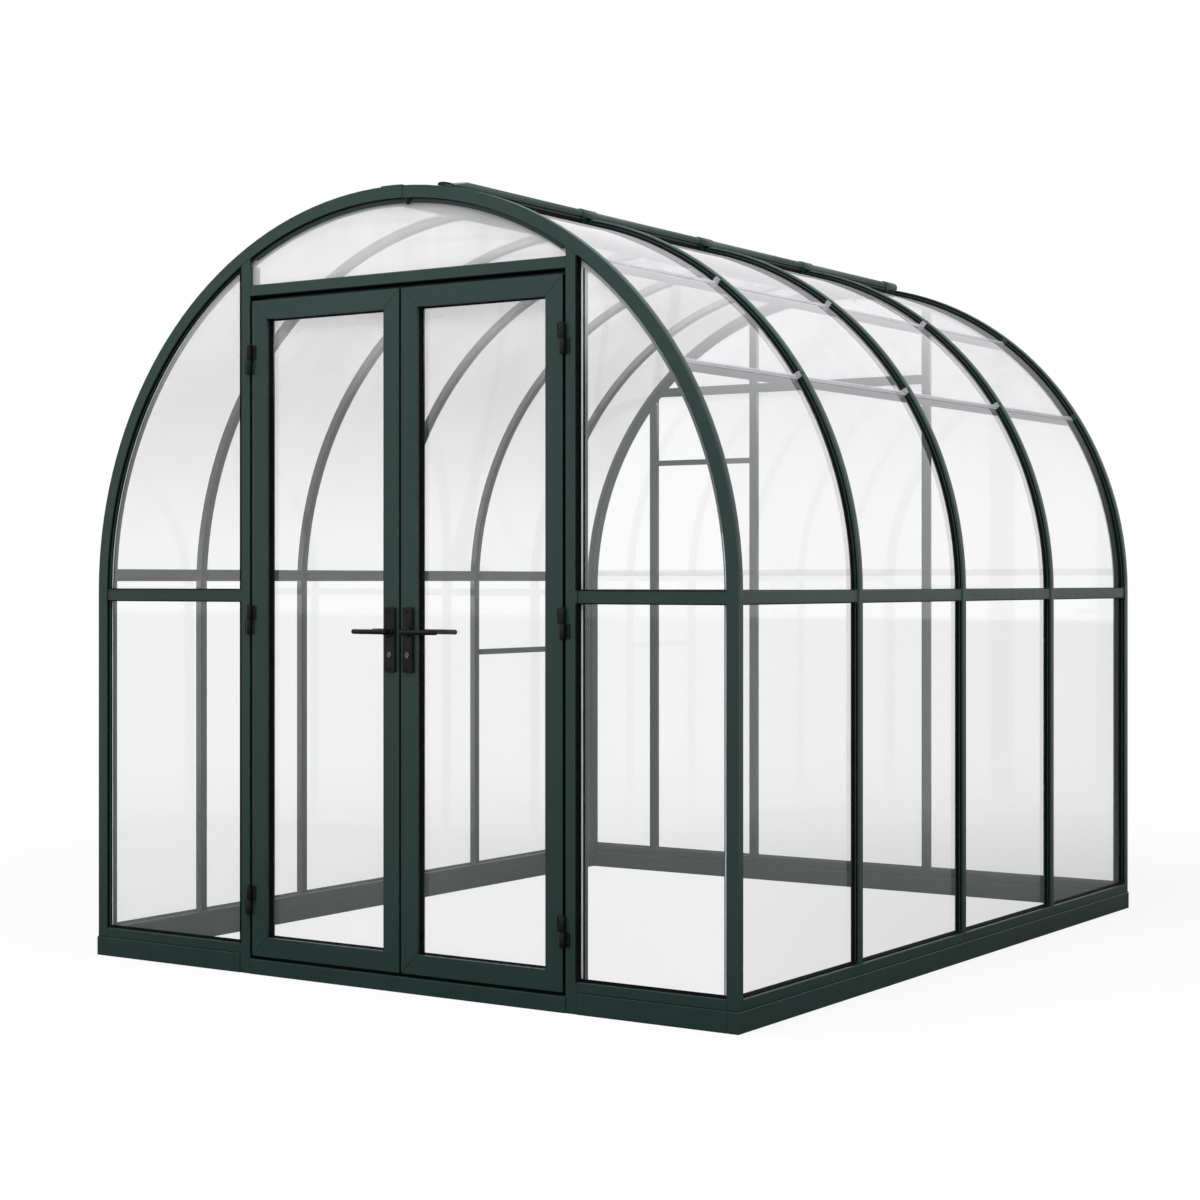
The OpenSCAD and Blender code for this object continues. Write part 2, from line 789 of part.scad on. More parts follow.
// A lever inside and one outside on a common spindle, pointing away from the other leaf.
module lever() {
    tip_l = 30;
    tip_a = 14;
    module arm(side) {
        translate([0, side * lever_out, 0]) {
            sphere(r = lever_r);
            rotate([0, 90, 0]) cylinder(r = lever_r, h = lever_l - tip_l);
            translate([lever_l - tip_l, 0, 0]) rotate([0, 0, -side * tip_a]) {
                sphere(r = lever_r);
                rotate([0, 90, 0]) cylinder(r = lever_r, h = tip_l);
                translate([tip_l, 0, 0]) sphere(r = lever_r);
            }
        }
    }
    color(black) translate([plate_x, front_y + leaf_t / 2, spindle_z]) {
        rotate([90, 0, 0]) cylinder(r = spindle_r, h = leaf_t + 4 * plate_t, center = true);
        for (side = [-1, 1]) {
            rotate([-90 * side, 0, 0]) translate([0, 0, leaf_t / 2 + 1])
                cylinder(r = neck_r, h = lever_out - 1);
            translate([0, side * leaf_t / 2, 0]) arm(side);
        }
    }
}

module door_leaf_right() {
    at_doors() door_leaf();
}

module door_leaf_left() {
    at_doors() mirror([1, 0, 0]) door_leaf();
}

module door_pane_right() {
    at_doors() door_pane();
}

module door_pane_left() {
    at_doors() mirror([1, 0, 0]) door_pane();
}

module leaf_hinges_right() {
    at_doors() leaf_hinges();
}

module leaf_hinges_left() {
    at_doors() mirror([1, 0, 0]) leaf_hinges();
}

module handle_plates_right() {
    at_doors() handle_plates();
}

module handle_plates_left() {
    at_doors() mirror([1, 0, 0]) handle_plates();
}

module lever_right() {
    at_doors() lever();
}

module lever_left() {
    at_doors() mirror([1, 0, 0]) lever();
}

base_front();
base_left();
base_right();
base_back();
base_corners();
door_threshold();
sill_rails();
front_arch_left();
front_arch_right();
back_arch_left();
back_arch_right();
apex_splices();
door_posts();
door_header();
front_rails();
left_rail();
right_rail();
back_rails();
right_ribs();
left_ribs();
right_purlins();
left_low_bar();
ridge_beam();
ridge_bar();
back_posts();
back_tie_bar();
back_short_bar();
front_panes();
fanlight_pane();
back_panes();
left_wall_panes();
right_wall_panes();
left_roof_panes();
right_roof_panes();
frame_hinges();
door_leaf_left();
door_pane_left();
leaf_hinges_left();
handle_plates_left();
lever_left();
door_leaf_right();
door_pane_right();
leaf_hinges_right();
handle_plates_right();
lever_right();
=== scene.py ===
# %% [markdown]
# The greenhouse is a barrel-roofed house of coated aluminium bars with clear sheets between them.
# The bars, sheets, doors and hinges come in as CAD solids, each in its own place, so this script
# adds what a drawing leaves out: the finishes, the softened edges, the rubber seals, the joining
# strips, the screws, the locks and the light.

# %% Open the frame
import math

import bmesh
import bpy
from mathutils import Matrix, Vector


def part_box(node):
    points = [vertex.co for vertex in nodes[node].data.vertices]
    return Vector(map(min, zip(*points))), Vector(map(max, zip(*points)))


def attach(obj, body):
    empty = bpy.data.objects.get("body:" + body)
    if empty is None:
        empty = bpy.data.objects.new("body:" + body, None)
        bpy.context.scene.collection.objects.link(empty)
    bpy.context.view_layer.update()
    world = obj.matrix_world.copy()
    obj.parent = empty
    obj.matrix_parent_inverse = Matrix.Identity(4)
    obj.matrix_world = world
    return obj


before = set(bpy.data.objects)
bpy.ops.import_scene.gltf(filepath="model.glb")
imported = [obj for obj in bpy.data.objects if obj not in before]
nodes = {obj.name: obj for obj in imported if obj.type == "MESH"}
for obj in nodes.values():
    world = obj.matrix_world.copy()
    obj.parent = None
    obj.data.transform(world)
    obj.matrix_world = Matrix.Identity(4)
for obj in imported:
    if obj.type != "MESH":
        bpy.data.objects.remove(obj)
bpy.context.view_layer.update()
print("CAD nodes:", len(nodes))

# %% [markdown]
# Each added piece lies on a bar or a sheet, so the measures of the house are read from the boxes
# of the CAD solids and not typed in again. Then nothing can drift away from them.

# %% Measures of the house
arch_low, arch_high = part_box("front_arch_right")
frame_out = arch_high.x
spring_z = arch_high.z - frame_out
front_y = arch_low.y
back_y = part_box("back_arch_right")[1].y
frame_depth = arch_high.y - arch_low.y
side_sheet = frame_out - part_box("right_wall_panes")[1].x
end_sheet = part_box("front_panes")[0].y - front_y
sill_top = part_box("sill_rails")[1].z
print("frame reaches", round(frame_out, 4), "and its arch springs at", round(spring_z, 4))
print("front at", round(front_y, 4), "back at", round(back_y, 4))
print("sheets set in by", round(side_sheet, 4), "at the sides,", round(end_sheet, 4), "at the ends")


# %% [markdown]
# One CAD node often holds several like bars, so its box says nothing about each of them. The next
# helper splits a node into its separate solids and gives the box of each, sorted from left to
# right, front to back and bottom to top.

# %% Boxes of single solids
same_point = 0.00001


def solid_boxes(name):
    """Boxes of the separate solids inside one CAD node, as (low corner, high corner) pairs."""
    work = bmesh.new()
    work.from_mesh(nodes[name].data)
    bmesh.ops.remove_doubles(work, verts=work.verts, dist=same_point)
    left = set(work.verts)
    boxes = []
    while left:
        seed = left.pop()
        group, edge = [seed], [seed]
        while edge:
            vertex = edge.pop()
            for link_edge in vertex.link_edges:
                other = link_edge.other_vert(vertex)
                if other in left:
                    left.remove(other)
                    group.append(other)
                    edge.append(other)
        low = Vector([min(v.co[k] for v in group) for k in range(3)])
        high = Vector([max(v.co[k] for v in group) for k in range(3)])
        boxes.append((low, high))
    work.free()
    return sorted(boxes, key=lambda b: tuple(round(c, 3) for c in b[0]))


def middle(box):
    return (box[0] + box[1]) / 2


right_ribs = sorted(middle(b).y for b in solid_boxes("right_ribs"))
left_ribs = sorted(middle(b).y for b in solid_boxes("left_ribs"))
rib_half = (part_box("right_ribs")[1].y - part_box("right_ribs")[0].y - right_ribs[-1] + right_ribs[0]) / 2
posts = solid_boxes("door_posts")
back_posts = solid_boxes("back_posts")
leaves = {side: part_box("door_leaf_" + side) for side in ("left", "right")}
door_x = (leaves["left"][1].x + leaves["right"][0].x) / 2
leaf_front, leaf_back = leaves["left"][0].y, leaves["left"][1].y
print("right ribs at", [round(y, 3) for y in right_ribs], "half width", round(rib_half, 4))
print("left ribs at", [round(y, 3) for y in left_ribs])
print("doors meet at X", round(door_x, 4))


# %% [markdown]
# A finish is a small network of nodes. The same few steps come back in each one: a noise that is
# laid out in metres, a ramp that turns the noise into a narrow range of values, and links between
# them. Helpers for these steps keep each finish short enough to read in one glance.

# %% Helpers for finishes
def new_material(name):
    """A node material with one Principled shader, and the tools to build on it."""
    material = bpy.data.materials.new(name)
    material.use_nodes = True
    tree = material.node_tree
    return material, tree, tree.nodes["Principled BSDF"]


def feed(tree, value, socket):
    """Feeds a socket with the output of another node, a colour or a number."""
    if isinstance(value, bpy.types.NodeSocket):
        tree.links.new(value, socket)
    elif isinstance(value, tuple):
        socket.default_value = (*value, 1)
    else:
        socket.default_value = value


def noise(tree, scale, detail=3.0, roughness=0.5, stretch=(1, 1, 1)):
    """Noise in metres, on the object's own coordinates."""
    place = tree.nodes.new("ShaderNodeTexCoord")
    mapping = tree.nodes.new("ShaderNodeMapping")
    mapping.inputs["Scale"].default_value = stretch
    texture = tree.nodes.new("ShaderNodeTexNoise")
    texture.inputs["Scale"].default_value = scale
    texture.inputs["Detail"].default_value = detail
    texture.inputs["Roughness"].default_value = roughness
    feed(tree, place.outputs["Object"], mapping.inputs["Vector"])
    feed(tree, mapping.outputs["Vector"], texture.inputs["Vector"])
    return texture.outputs["Fac"]


def remap(tree, value, low, high, from_low=0.3, from_high=0.7):
    """Stretches a value to the range low..high."""
    node = tree.nodes.new("ShaderNodeMapRange")
    node.inputs["From Min"].default_value = from_low
    node.inputs["From Max"].default_value = from_high
    node.inputs["To Min"].default_value = low
    node.inputs["To Max"].default_value = high
    feed(tree, value, node.inputs["Value"])
    return node.outputs["Result"]


# %% [markdown]
# No surface is one flat colour under an even gloss. Two tones are mixed by a ramp of noise, and a
# finer noise becomes a slight relief.

# %% Helpers for colour and relief
def blend_colours(tree, factor, first, second):
    """Mixes two colours by a factor; either colour may be a socket."""
    node = tree.nodes.new("ShaderNodeMix")
    node.data_type = "RGBA"
    feed(tree, factor, node.inputs["Factor"])
    feed(tree, first, node.inputs[6])
    feed(tree, second, node.inputs[7])
    return node.outputs[2]


def bump(tree, height, strength, distance):
    node = tree.nodes.new("ShaderNodeBump")
    node.inputs["Strength"].default_value = strength
    node.inputs["Distance"].default_value = distance
    feed(tree, height, node.inputs["Height"])
    return node.outputs["Normal"]


# %% [markdown]
# The bars are aluminium with a dark green powder coat. Powder coat is sprayed on dry and baked,
# so it flows into a skin with a faint orange-peel texture: satin and even in colour. Faces that
# look up are painted a touch lighter: painted light, as from above. The green is close to black,
# so much of what the eye reads on it is the soft reflection of the sky, and the darker the green
# is kept, the more the rounded edges stand out as fine light lines.

# %% Powder coat
def make_powder_coat():
    material, tree, shader = new_material("green_powder_coat")
    deep_green, light_green = (0.0058, 0.0222, 0.0178), (0.0082, 0.0268, 0.0218)
    painted_top_light_colour = (0.045, 0.068, 0.062)
    tone = remap(tree, noise(tree, 2.2, detail=4), 0.0, 1.0)
    colour = blend_colours(tree, tone, deep_green, light_green)
    # Painted light: faces that look up are blended toward a lighter green, as light from above shows them.
    normal = tree.nodes.new("ShaderNodeNewGeometry")
    split = tree.nodes.new("ShaderNodeSeparateXYZ")
    feed(tree, normal.outputs["Normal"], split.inputs["Vector"])
    painted_top_light = remap(tree, split.outputs["Z"], 0.0, 0.16, 0.5, 1.0)
    colour = blend_colours(tree, painted_top_light, colour, painted_top_light_colour)
    feed(tree, colour, shader.inputs["Base Color"])
    sheen = remap(tree, noise(tree, 35, detail=2), 0.34, 0.42)
    feed(tree, sheen, shader.inputs["Roughness"])
    shader.inputs["Specular IOR Level"].default_value = 0.39
    peel = bump(tree, noise(tree, 900, detail=2), 0.12, 0.0004)
    feed(tree, peel, shader.inputs["Normal"])
    return material


green_coat = make_powder_coat()
print("made", green_coat.name)


# %% [markdown]
# A clear sheet lets light through, mirrors some and scatters a little, all at once. So its finish
# works out shares of light with small sums, and mixes shaders by those shares.

# %% Helpers for shares of light
def sums(tree, operation, first, second):
    """One Math node; either value may be a number."""
    node = tree.nodes.new("ShaderNodeMath")
    node.operation = operation
    feed(tree, first, node.inputs[0])
    feed(tree, second, node.inputs[1])
    return node.outputs["Value"]


def blend_shaders(tree, factor, first, second):
    """Mixes two shaders; the factor may be a number."""
    node = tree.nodes.new("ShaderNodeMixShader")
    feed(tree, factor, node.inputs["Fac"])
    feed(tree, first, node.inputs[1])
    feed(tree, second, node.inputs[2])
    return node.outputs["Shader"]


# %% [markdown]
# The sheets are clear polycarbonate. A thin clear sheet does three things: it lets most light
# straight through, it mirrors a little of what is around it, and it mirrors far more when seen
# at a low angle. Glass that bends light would need many bounces for no visible gain in a thin
# sheet, so a Transparent shader carries the view through, a Glossy shader adds the mirror, and
# Fresnel says how much of each. The third shader is a pale film of dust and dried damp. Warm wet
# air rises, so the film is thin low down and thickens under the roof, where it makes all that
# lies behind the sheets look pale. Dust splashed up by rain adds a little near the ground. The
# curved roof sheets carry more film than the flat ones, and their reflections ripple more. Every
# ray enters a sheet by one face and leaves it by the other, so the first face stands for both of
# them and the second lets everything through, which renders faster and with less noise. The light
# that two faces mirror together is 2F/(1+F), where F is the share of one face.

# %% Clear sheets
polycarbonate_ior = 1.585
splash_share, splash_from, splash_to = 0.035, 0.10, 0.55


def make_clear_sheet(name, ripple, film_share, film_heights, film_colour):
    """A clear sheet whose film grows from one share to another between two heights."""
    material, tree, shader = new_material(name)
    tree.nodes.remove(shader)
    output = tree.nodes["Material Output"]
    through = tree.nodes.new("ShaderNodeBsdfTransparent")
    through.inputs["Color"].default_value = (0.993, 0.994, 0.994, 1)
    mirror = tree.nodes.new("ShaderNodeBsdfGlossy")
    mirror.inputs["Color"].default_value = (0.965, 0.965, 0.97, 1)
    mirror.inputs["Roughness"].default_value = 0.03
    film = tree.nodes.new("ShaderNodeBsdfDiffuse")
    film.inputs["Color"].default_value = (*film_colour, 1)

    side = tree.nodes.new("ShaderNodeNewGeometry")
    entering = sums(tree, "SUBTRACT", 1.0, side.outputs["Backfacing"])
    fresnel = tree.nodes.new("ShaderNodeFresnel")
    fresnel.inputs["IOR"].default_value = polycarbonate_ior
    waves = noise(tree, 2.0, detail=1, roughness=0.3, stretch=(1, 1, 0.4))
    wavy = bump(tree, waves, ripple, 0.02)
    feed(tree, wavy, mirror.inputs["Normal"])
    feed(tree, wavy, fresnel.inputs["Normal"])
    one = fresnel.outputs["Fac"]
    both = sums(tree, "DIVIDE", sums(tree, "MULTIPLY", one, 2.0), sums(tree, "ADD", one, 1.0))
    both = sums(tree, "MULTIPLY", both, entering)
    gloss = blend_shaders(tree, both, through.outputs["BSDF"], mirror.outputs["BSDF"])

    place = tree.nodes.new("ShaderNodeTexCoord")
    split = tree.nodes.new("ShaderNodeSeparateXYZ")
    feed(tree, place.outputs["Object"], split.inputs["Vector"])
    height = remap(tree, split.outputs["Z"], *film_share, *film_heights)
    height.node.interpolation_type = "SMOOTHSTEP"
    splash = remap(tree, split.outputs["Z"], splash_share, 0.0, splash_from, splash_to)
    height = sums(tree, "ADD", height, splash)
    streaks = remap(tree, noise(tree, 1.6, detail=4, stretch=(1.6, 1.6, 0.5)), 0.8, 1.2)
    share = sums(tree, "MULTIPLY", sums(tree, "MULTIPLY", height, streaks), entering)
    clear = blend_shaders(tree, share, gloss, film.outputs["BSDF"])
    feed(tree, clear, output.inputs["Surface"])
    return material


flat_sheet = make_clear_sheet("clear_flat_sheet", ripple=0.02, film_share=(0.024, 0.32),
                              film_heights=(1.72, 2.14), film_colour=(0.96, 0.965, 0.965))
roof_sheet = make_clear_sheet("clear_roof_sheet", ripple=0.05, film_share=(0.055, 0.34),
                              film_heights=(1.40, 2.20), film_colour=(0.395, 0.388, 0.405))
print("made", flat_sheet.name, "and", roof_sheet.name)


# %% [markdown]
# Hinges, handle plates and levers are die-cast and coated satin black. The grain is coarser than
# the powder coat's, and hands polish the levers, so the gloss wanders more. The seals are soft
# black rubber: blacker and duller, with hardly any reflection.

# %% Black furniture and rubber
def make_black(name, dark, light, rough, level, grain_scale):
    material, tree, shader = new_material(name)
    tone = remap(tree, noise(tree, 40, detail=3), 0.0, 1.0)
    colour = blend_colours(tree, tone, dark, light)
    feed(tree, colour, shader.inputs["Base Color"])
    feed(tree, remap(tree, noise(tree, 60, detail=2), *rough), shader.inputs["Roughness"])
    shader.inputs["Specular IOR Level"].default_value = level
    grain = bump(tree, noise(tree, grain_scale, detail=3), 0.15, 0.0003)
    feed(tree, grain, shader.inputs["Normal"])
    return material


black_furniture = make_black("satin_black_casting", dark=(0.0025, 0.0030, 0.0028),
                             light=(0.0048, 0.0054, 0.0052), rough=(0.34, 0.50), level=0.22,
                             grain_scale=700)
black_rubber = make_black("black_rubber", dark=(0.0010, 0.0012, 0.0011),
                          light=(0.0022, 0.0026, 0.0024), rough=(0.60, 0.80), level=0.10,
                          grain_scale=400)
print("made", black_furniture.name, "and", black_rubber.name)


# %% [markdown]
# The strips that join two roof sheets are milky extruded plastic: translucent, a little lilac
# against the green, with faint lines drawn along them by the die. The lock cylinders are plain
# nickel, brushed by wear.

# %% Milky strips and nickel
def make_milky(name, opacity, colour_low, colour_high):
    material, tree, shader = new_material(name)
    tone = remap(tree, noise(tree, 14, detail=4, stretch=(1, 0.1, 1)), 0.0, 1.0)
    colour = blend_colours(tree, tone, colour_low, colour_high)
    feed(tree, colour, shader.inputs["Base Color"])
    feed(tree, remap(tree, noise(tree, 30), 0.28, 0.42), shader.inputs["Roughness"])
    shader.inputs["Specular IOR Level"].default_value = 0.4
    die_lines = bump(tree, noise(tree, 260, detail=1, stretch=(1, 0.02, 1)), 0.2, 0.0003)
    feed(tree, die_lines, shader.inputs["Normal"])
    through = tree.nodes.new("ShaderNodeBsdfTransparent")
    through.inputs["Color"].default_value = (0.97, 0.97, 0.975, 1)
    output = tree.nodes["Material Output"]
    feed(tree, blend_shaders(tree, opacity, through.outputs["BSDF"], shader.outputs["BSDF"]),
         output.inputs["Surface"])
    return material


def make_nickel():
    material, tree, shader = new_material("worn_nickel")
    tone = remap(tree, noise(tree, 300, detail=3), 0.0, 1.0)
    colour = blend_colours(tree, tone, (0.15, 0.15, 0.145), (0.24, 0.24, 0.235))
    feed(tree, colour, shader.inputs["Base Color"])
    shader.inputs["Metallic"].default_value = 1.0
    feed(tree, remap(tree, noise(tree, 500, detail=2), 0.28, 0.45), shader.inputs["Roughness"])
    scratches = bump(tree, noise(tree, 1500, detail=2, stretch=(1, 1, 0.1)), 0.15, 0.0001)
    feed(tree, scratches, shader.inputs["Normal"])
    return material


roof_strip = make_milky("milky_roof_strip", 0.34, (0.50, 0.49, 0.52), (0.66, 0.65, 0.68))
# The edge strip finish paints a highlight: its pale strips stand for the light line along the flanges
# beside the door posts and the legs.
edge_strip = make_milky("milky_painted_highlight_strip", 0.62, (0.52, 0.55, 0.57), (0.66, 0.69, 0.71))
wall_strip = make_milky("milky_wall_strip", 0.10, (0.60, 0.60, 0.60), (0.72, 0.72, 0.72))
nickel = make_nickel()
print("made", roof_strip.name + ",", edge_strip.name + ",", wall_strip.name, "and", nickel.name)


# %% [markdown]
# The CAD solids carry plain stand-in materials, named after the kinds of finish in the record.
# Each stand-in is exchanged for its finish, and the curved roof sheets get the fuller film.

# %% Dress the CAD solids
finish_of = {"frame": green_coat, "sheet": flat_sheet, "furniture": black_furniture}
for name, node in nodes.items():
    for slot in node.material_slots:
        slot.material = finish_of[slot.material.name.split(".")[0]]
for name in ("left_roof_panes", "right_roof_panes"):
    nodes[name].material_slots[0].material = roof_sheet
print("dressed", len(nodes), "nodes")


# %% [markdown]
# No bar has a razor edge: the coat rounds every corner, and a rounded corner is what catches the
# light. The CAD solids have sharp corners, so a Weld modifier joins their split corner points and
# a Bevel modifier rounds every edge sharper than 35 degrees. On straight parts whose flat faces
# are cut into many thin triangles, a Decimate modifier first merges each flat face into one, or
# the bevel would be squeezed to nothing. A bow must not be merged: the flat side of a curved rib
# would become one face that fills the inside of the bow.

# %% Soften the edges
sharp_angle = math.radians(35)
flat_angle = math.radians(0.3)


def soften(node, width, merged=False, clamped=True):
    """Rounds the edges; merged first joins coplanar faces, clamped keeps the width safe."""
    weld = node.modifiers.new("join_corners", "WELD")
    weld.merge_threshold = same_point
    if merged:
        flats = node.modifiers.new("merge_flats", "DECIMATE")
        flats.decimate_type = "DISSOLVE"
        flats.angle_limit = flat_angle
    bevel = node.modifiers.new("round_edges", "BEVEL")
    bevel.width = width
    bevel.segments = 2
    bevel.limit_method = "ANGLE"
    bevel.angle_limit = sharp_angle
    bevel.use_clamp_overlap = clamped
    bevel.harden_normals = True


sill_edge, plinth_edge, rail_edge, bar_edge, fine_edge = 0.0028, 0.0022, 0.0020, 0.0015, 0.0010
plinth_bars = ("base_front", "base_right", "base_back", "base_left", "base_corners")
rail_bars = ("front_rails", "right_rail", "left_rail", "door_header")
edge_width = {"sill_rails": sill_edge}
edge_width.update(dict.fromkeys(plinth_bars, plinth_edge))
edge_width.update(dict.fromkeys(rail_bars, rail_edge))
leaf_frames = ("door_leaf_left", "door_leaf_right")
merged_bars = ("back_posts", "door_posts", "base_front", "ridge_bar", "apex_splices")
for name, node in nodes.items():
    if name in leaf_frames:
        soften(node, fine_edge, merged=True, clamped=False)
    elif node.material_slots[0].material == green_coat:
        soften(node, edge_width.get(name, bar_edge), merged=name in merged_bars)
small_parts = ("frame_hinges", "leaf_hinges_left", "leaf_hinges_right",
               "handle_plates_left", "handle_plates_right")
for name in small_parts:
    soften(nodes[name], fine_edge, merged=True)
print("rounded the edges of the bars, the hinges and the plates")


# %% [markdown]
# Seals, strips and screws are all one of two kinds of body. An extruded one is a section carried
# along a path; a turned one is a profile spun about an axis. Both come as plain lists of points
# and faces. A path is a list of stations, and each station says where the section's origin lies
# and which way its two directions point.

# %% Extruded bodies
def extruded(section, stations, ring=False):
    """A section of (a, b) points carried through stations of (origin, a direction, b direction)."""
    count = len(section)
    points = [origin + u * a + v * b for origin, u, v in stations for a, b in section]
    steps = len(stations) if ring else len(stations) - 1
    faces = []
    for step in range(steps):
        here, there = step * count, (step + 1) % len(stations) * count
        for k in range(count):
            nxt = (k + 1) % count
            faces.append((here + k, here + nxt, there + nxt, there + k))
    if not ring:
        faces.append(tuple(range(count)))
        faces.append(tuple(range(len(points) - count, len(points))))
    return points, faces


# %% [markdown]
# A profile runs from axis to axis, or comes back to its own start as on a collar. A point on the
# axis is made only once, and a closed profile uses its first ring again, so both stay closed.

# %% Turned bodies
def turned(profile, origin, axis, segments):
    """A profile of (radius, height) points, from axis to axis or back to its start, spun."""
    axis = Vector(axis).normalized()
    u = axis.orthogonal().normalized()
    v = axis.cross(u)
    points, rings, faces = [], [], []
    for radius, height in profile:
        base = Vector(origin) + axis * height
        if rings and (radius, height) == profile[0]:
            rings.append(rings[0])
        elif radius == 0:
            rings.append([len(points)])
            points.append(base)
        else:
            rings.append(list(range(len(points), len(points) + segments)))
            for k in range(segments):
                turn = 2 * math.pi * k / segments
                points.append(base + (u * math.cos(turn) + v * math.sin(turn)) * radius)
    for low, high in zip(rings, rings[1:]):
        for k in range(segments):
            nxt = (k + 1) % segments
            corner = [low[k % len(low)], low[nxt % len(low)], high[nxt % len(high)], high[k % len(high)]]
            faces.append(tuple(dict.fromkeys(corner)))
    return points, faces


# %% [markdown]
# Any number of such bodies go into one named piece, which rides on a body of the model and
# carries one finish.

# %% Pieces
def piece(name, bodies, material, body):
    """Joins closed bodies into one mesh that rides on a body of the model."""
    points, faces = [], []
    for some_points, some_faces in bodies:
        start = len(points)
        points += some_points
        faces += [tuple(start + k for k in face) for face in some_faces]
    mesh = bpy.data.meshes.new(name)
    mesh.from_pydata(points, [], faces)
    work = bmesh.new()
    work.from_mesh(mesh)
    bmesh.ops.recalc_face_normals(work, faces=work.faces)
    work.to_mesh(mesh)
    work.free()
    mesh.shade_smooth()
    mesh.set_sharp_from_angle(angle=sharp_angle)
    mesh.materials.append(material)
    thing = bpy.data.objects.new(name, mesh)
    bpy.context.scene.collection.objects.link(thing)
    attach(thing, body)
    print(name, "on", body, "-", len(bodies), "bodies,", len(faces), "faces")
    return thing


# %% [markdown]
# Most seals follow the outline of the house: up a wall and over the roof. A place on that outline
# is given by its distance from the ground along it. The helper returns stations for a stretch of
# the outline, with one direction pointing into the house and the other along it.

# %% Paths along the outline
arc_step = 0.05


def along_arch(angle):
    """Distance from the ground, along the outline, to a given angle of the roof in degrees."""
    return spring_z + frame_out * math.radians(angle)


def outline(side, y, start, end):
    """Stations from start to end along the outline, on the right (1) or the left (-1)."""
    spots = [start]
    if start < spring_z < end:
        spots.append(spring_z)
    first = max(start, spring_z)
    count = max(1, math.ceil((end - first) / arc_step))
    if end > spring_z:
        spots += [first + (end - first) * k / count for k in range(1, count + 1)]
    else:
        spots.append(end)
    stations = []
    for spot in spots:
        turn = max(0.0, (spot - spring_z) / frame_out)
        inward = Vector((-side * math.cos(turn), 0, -math.sin(turn)))
        origin = Vector((0, y, spring_z)) - inward * frame_out
        if spot < spring_z:
            origin.z = spot
        stations.append((origin, inward, Vector((0, 1, 0))))
    return stations


# %% [markdown]
# Such a path is often interrupted where a rail or a strip crosses, so a helper gives the parts
# that are left. Another turns a section round, for the sheet on the other side of a bar.

# %% Stretches and flipped sections
def stretches(start, end, gaps):
    """The parts of start..end that are left between the gaps."""
    parts = []
    for low, high in sorted(gaps):
        if low > start:
            parts.append((start, low))
        start = max(start, high)
    if end > start:
        parts.append((start, end))
    return parts


def flipped(section):
    """The same section for the other direction along the house."""
    return [(a, -b) for a, b in section]


# %% [markdown]
# A glazing rib clamps the sheets under its cap through a rubber gasket. The rubber stops wherever
# a rail, a joining strip or the clamp bar on the roof crosses, so the places of these come first.
# The angles of the two joining strips are those of the purlins below them, measured on the solids.

# %% Places of the rails, strips and clamp bar
def roof_angle(place):
    """Angle of a place on the roof, in degrees, up from the springing on the right."""
    return math.degrees(math.atan2(place.z - spring_z, place.x))


purlins = sorted(solid_boxes("right_purlins"), key=lambda b: b[0].z)
purlin_angles = [roof_angle(middle(b)) for b in purlins]
bar_angle = roof_angle(middle(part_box("ridge_bar")))
rail_low, rail_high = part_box("right_rail")[0].z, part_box("right_rail")[1].z
rail_half = (rail_high - rail_low) / 2
left_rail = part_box("left_rail")
left_rail_spot = along_arch(math.degrees(math.asin((middle(left_rail).z - spring_z) / frame_out)))
print("purlins at", [round(a, 2) for a in purlin_angles], "degrees, clamp bar at", round(bar_angle, 2))

# %% [markdown]
# A second strip of rubber sits in the snap joint of the cap. The two cover the flank of the rib in
# black, partly real rubber and partly painted shade for the shaded flank, and leave only a thin green
# line of the cap between them, so the ribs look black along one side and green on top. The end
# frames hold the side sheets in the same way. A section below is a list of points, each as (depth
# under the outside of the frame, distance from the flank of the rib).

# %% Glazing gaskets and painted flank shade
seal_h = 0.0085
ridge_spot = along_arch(88.6)
rail_gap, strip_gap, bar_gap = 0.005, 0.012, 0.033
right_gaps = [(rail_low - 0.004, rail_high + rail_gap)]
for angle, gap in [(a, strip_gap) for a in purlin_angles] + [(bar_angle, bar_gap)]:
    right_gaps.append((along_arch(angle) - gap, along_arch(angle) + gap))
left_gaps = [(left_rail_spot - rail_half - rail_gap, left_rail_spot + rail_half + rail_gap)]
# clip and gasket: black rubber over the flank of the rib, partly a real seal and partly painted shade.
clip_and_flank_shade = [(0.0046, -0.0002), (0.0098, -0.0002), (0.0098, 0.0012), (0.0046, 0.0008)]
gasket = [(0.0142, -0.0002), (side_sheet - 0.0004, -0.0002), (side_sheet - 0.0004, 0.0048),
          (side_sheet - 0.0014, 0.0050), (side_sheet - 0.0050, 0.0018), (0.0142, 0.0013)]


def flanks(ribs):
    """Every flank that a side sheet meets, as (place along the house, direction of the sheet)."""
    ends = [(front_y + frame_depth, 1), (back_y - frame_depth, -1)]
    return ends + [(y + s * rib_half, s) for y in ribs for s in (-1, 1)]


def gaskets_and_flank_shade(name, side, ribs, gaps):
    bodies = []
    for y, direction in flanks(ribs):
        for section in (clip_and_flank_shade, gasket):
            shape = section if direction == 1 else flipped(section)
            for start, end in stretches(sill_top + seal_h, ridge_spot, gaps):
                bodies.append(extruded(shape, outline(side, y, start, end)))
    return piece(name, bodies, black_rubber, "house")


gaskets_and_flank_shade("right_gaskets_and_flank_shade", 1, right_ribs, right_gaps)
gaskets_and_flank_shade("left_gaskets_and_flank_shade", -1, left_ribs, left_gaps)


# %% [markdown]
# A sloping rubber seal lies between the bottom edge of each side sheet and its sill and sheds the
# rain outward, and thinner ones close the sheets against the mid rails above and below. Each seal
# bites a little into what it lies on, so that no slit of light is left.

# %% Side sill and rail seals
bite = 0.0003
thin_h = 0.0025


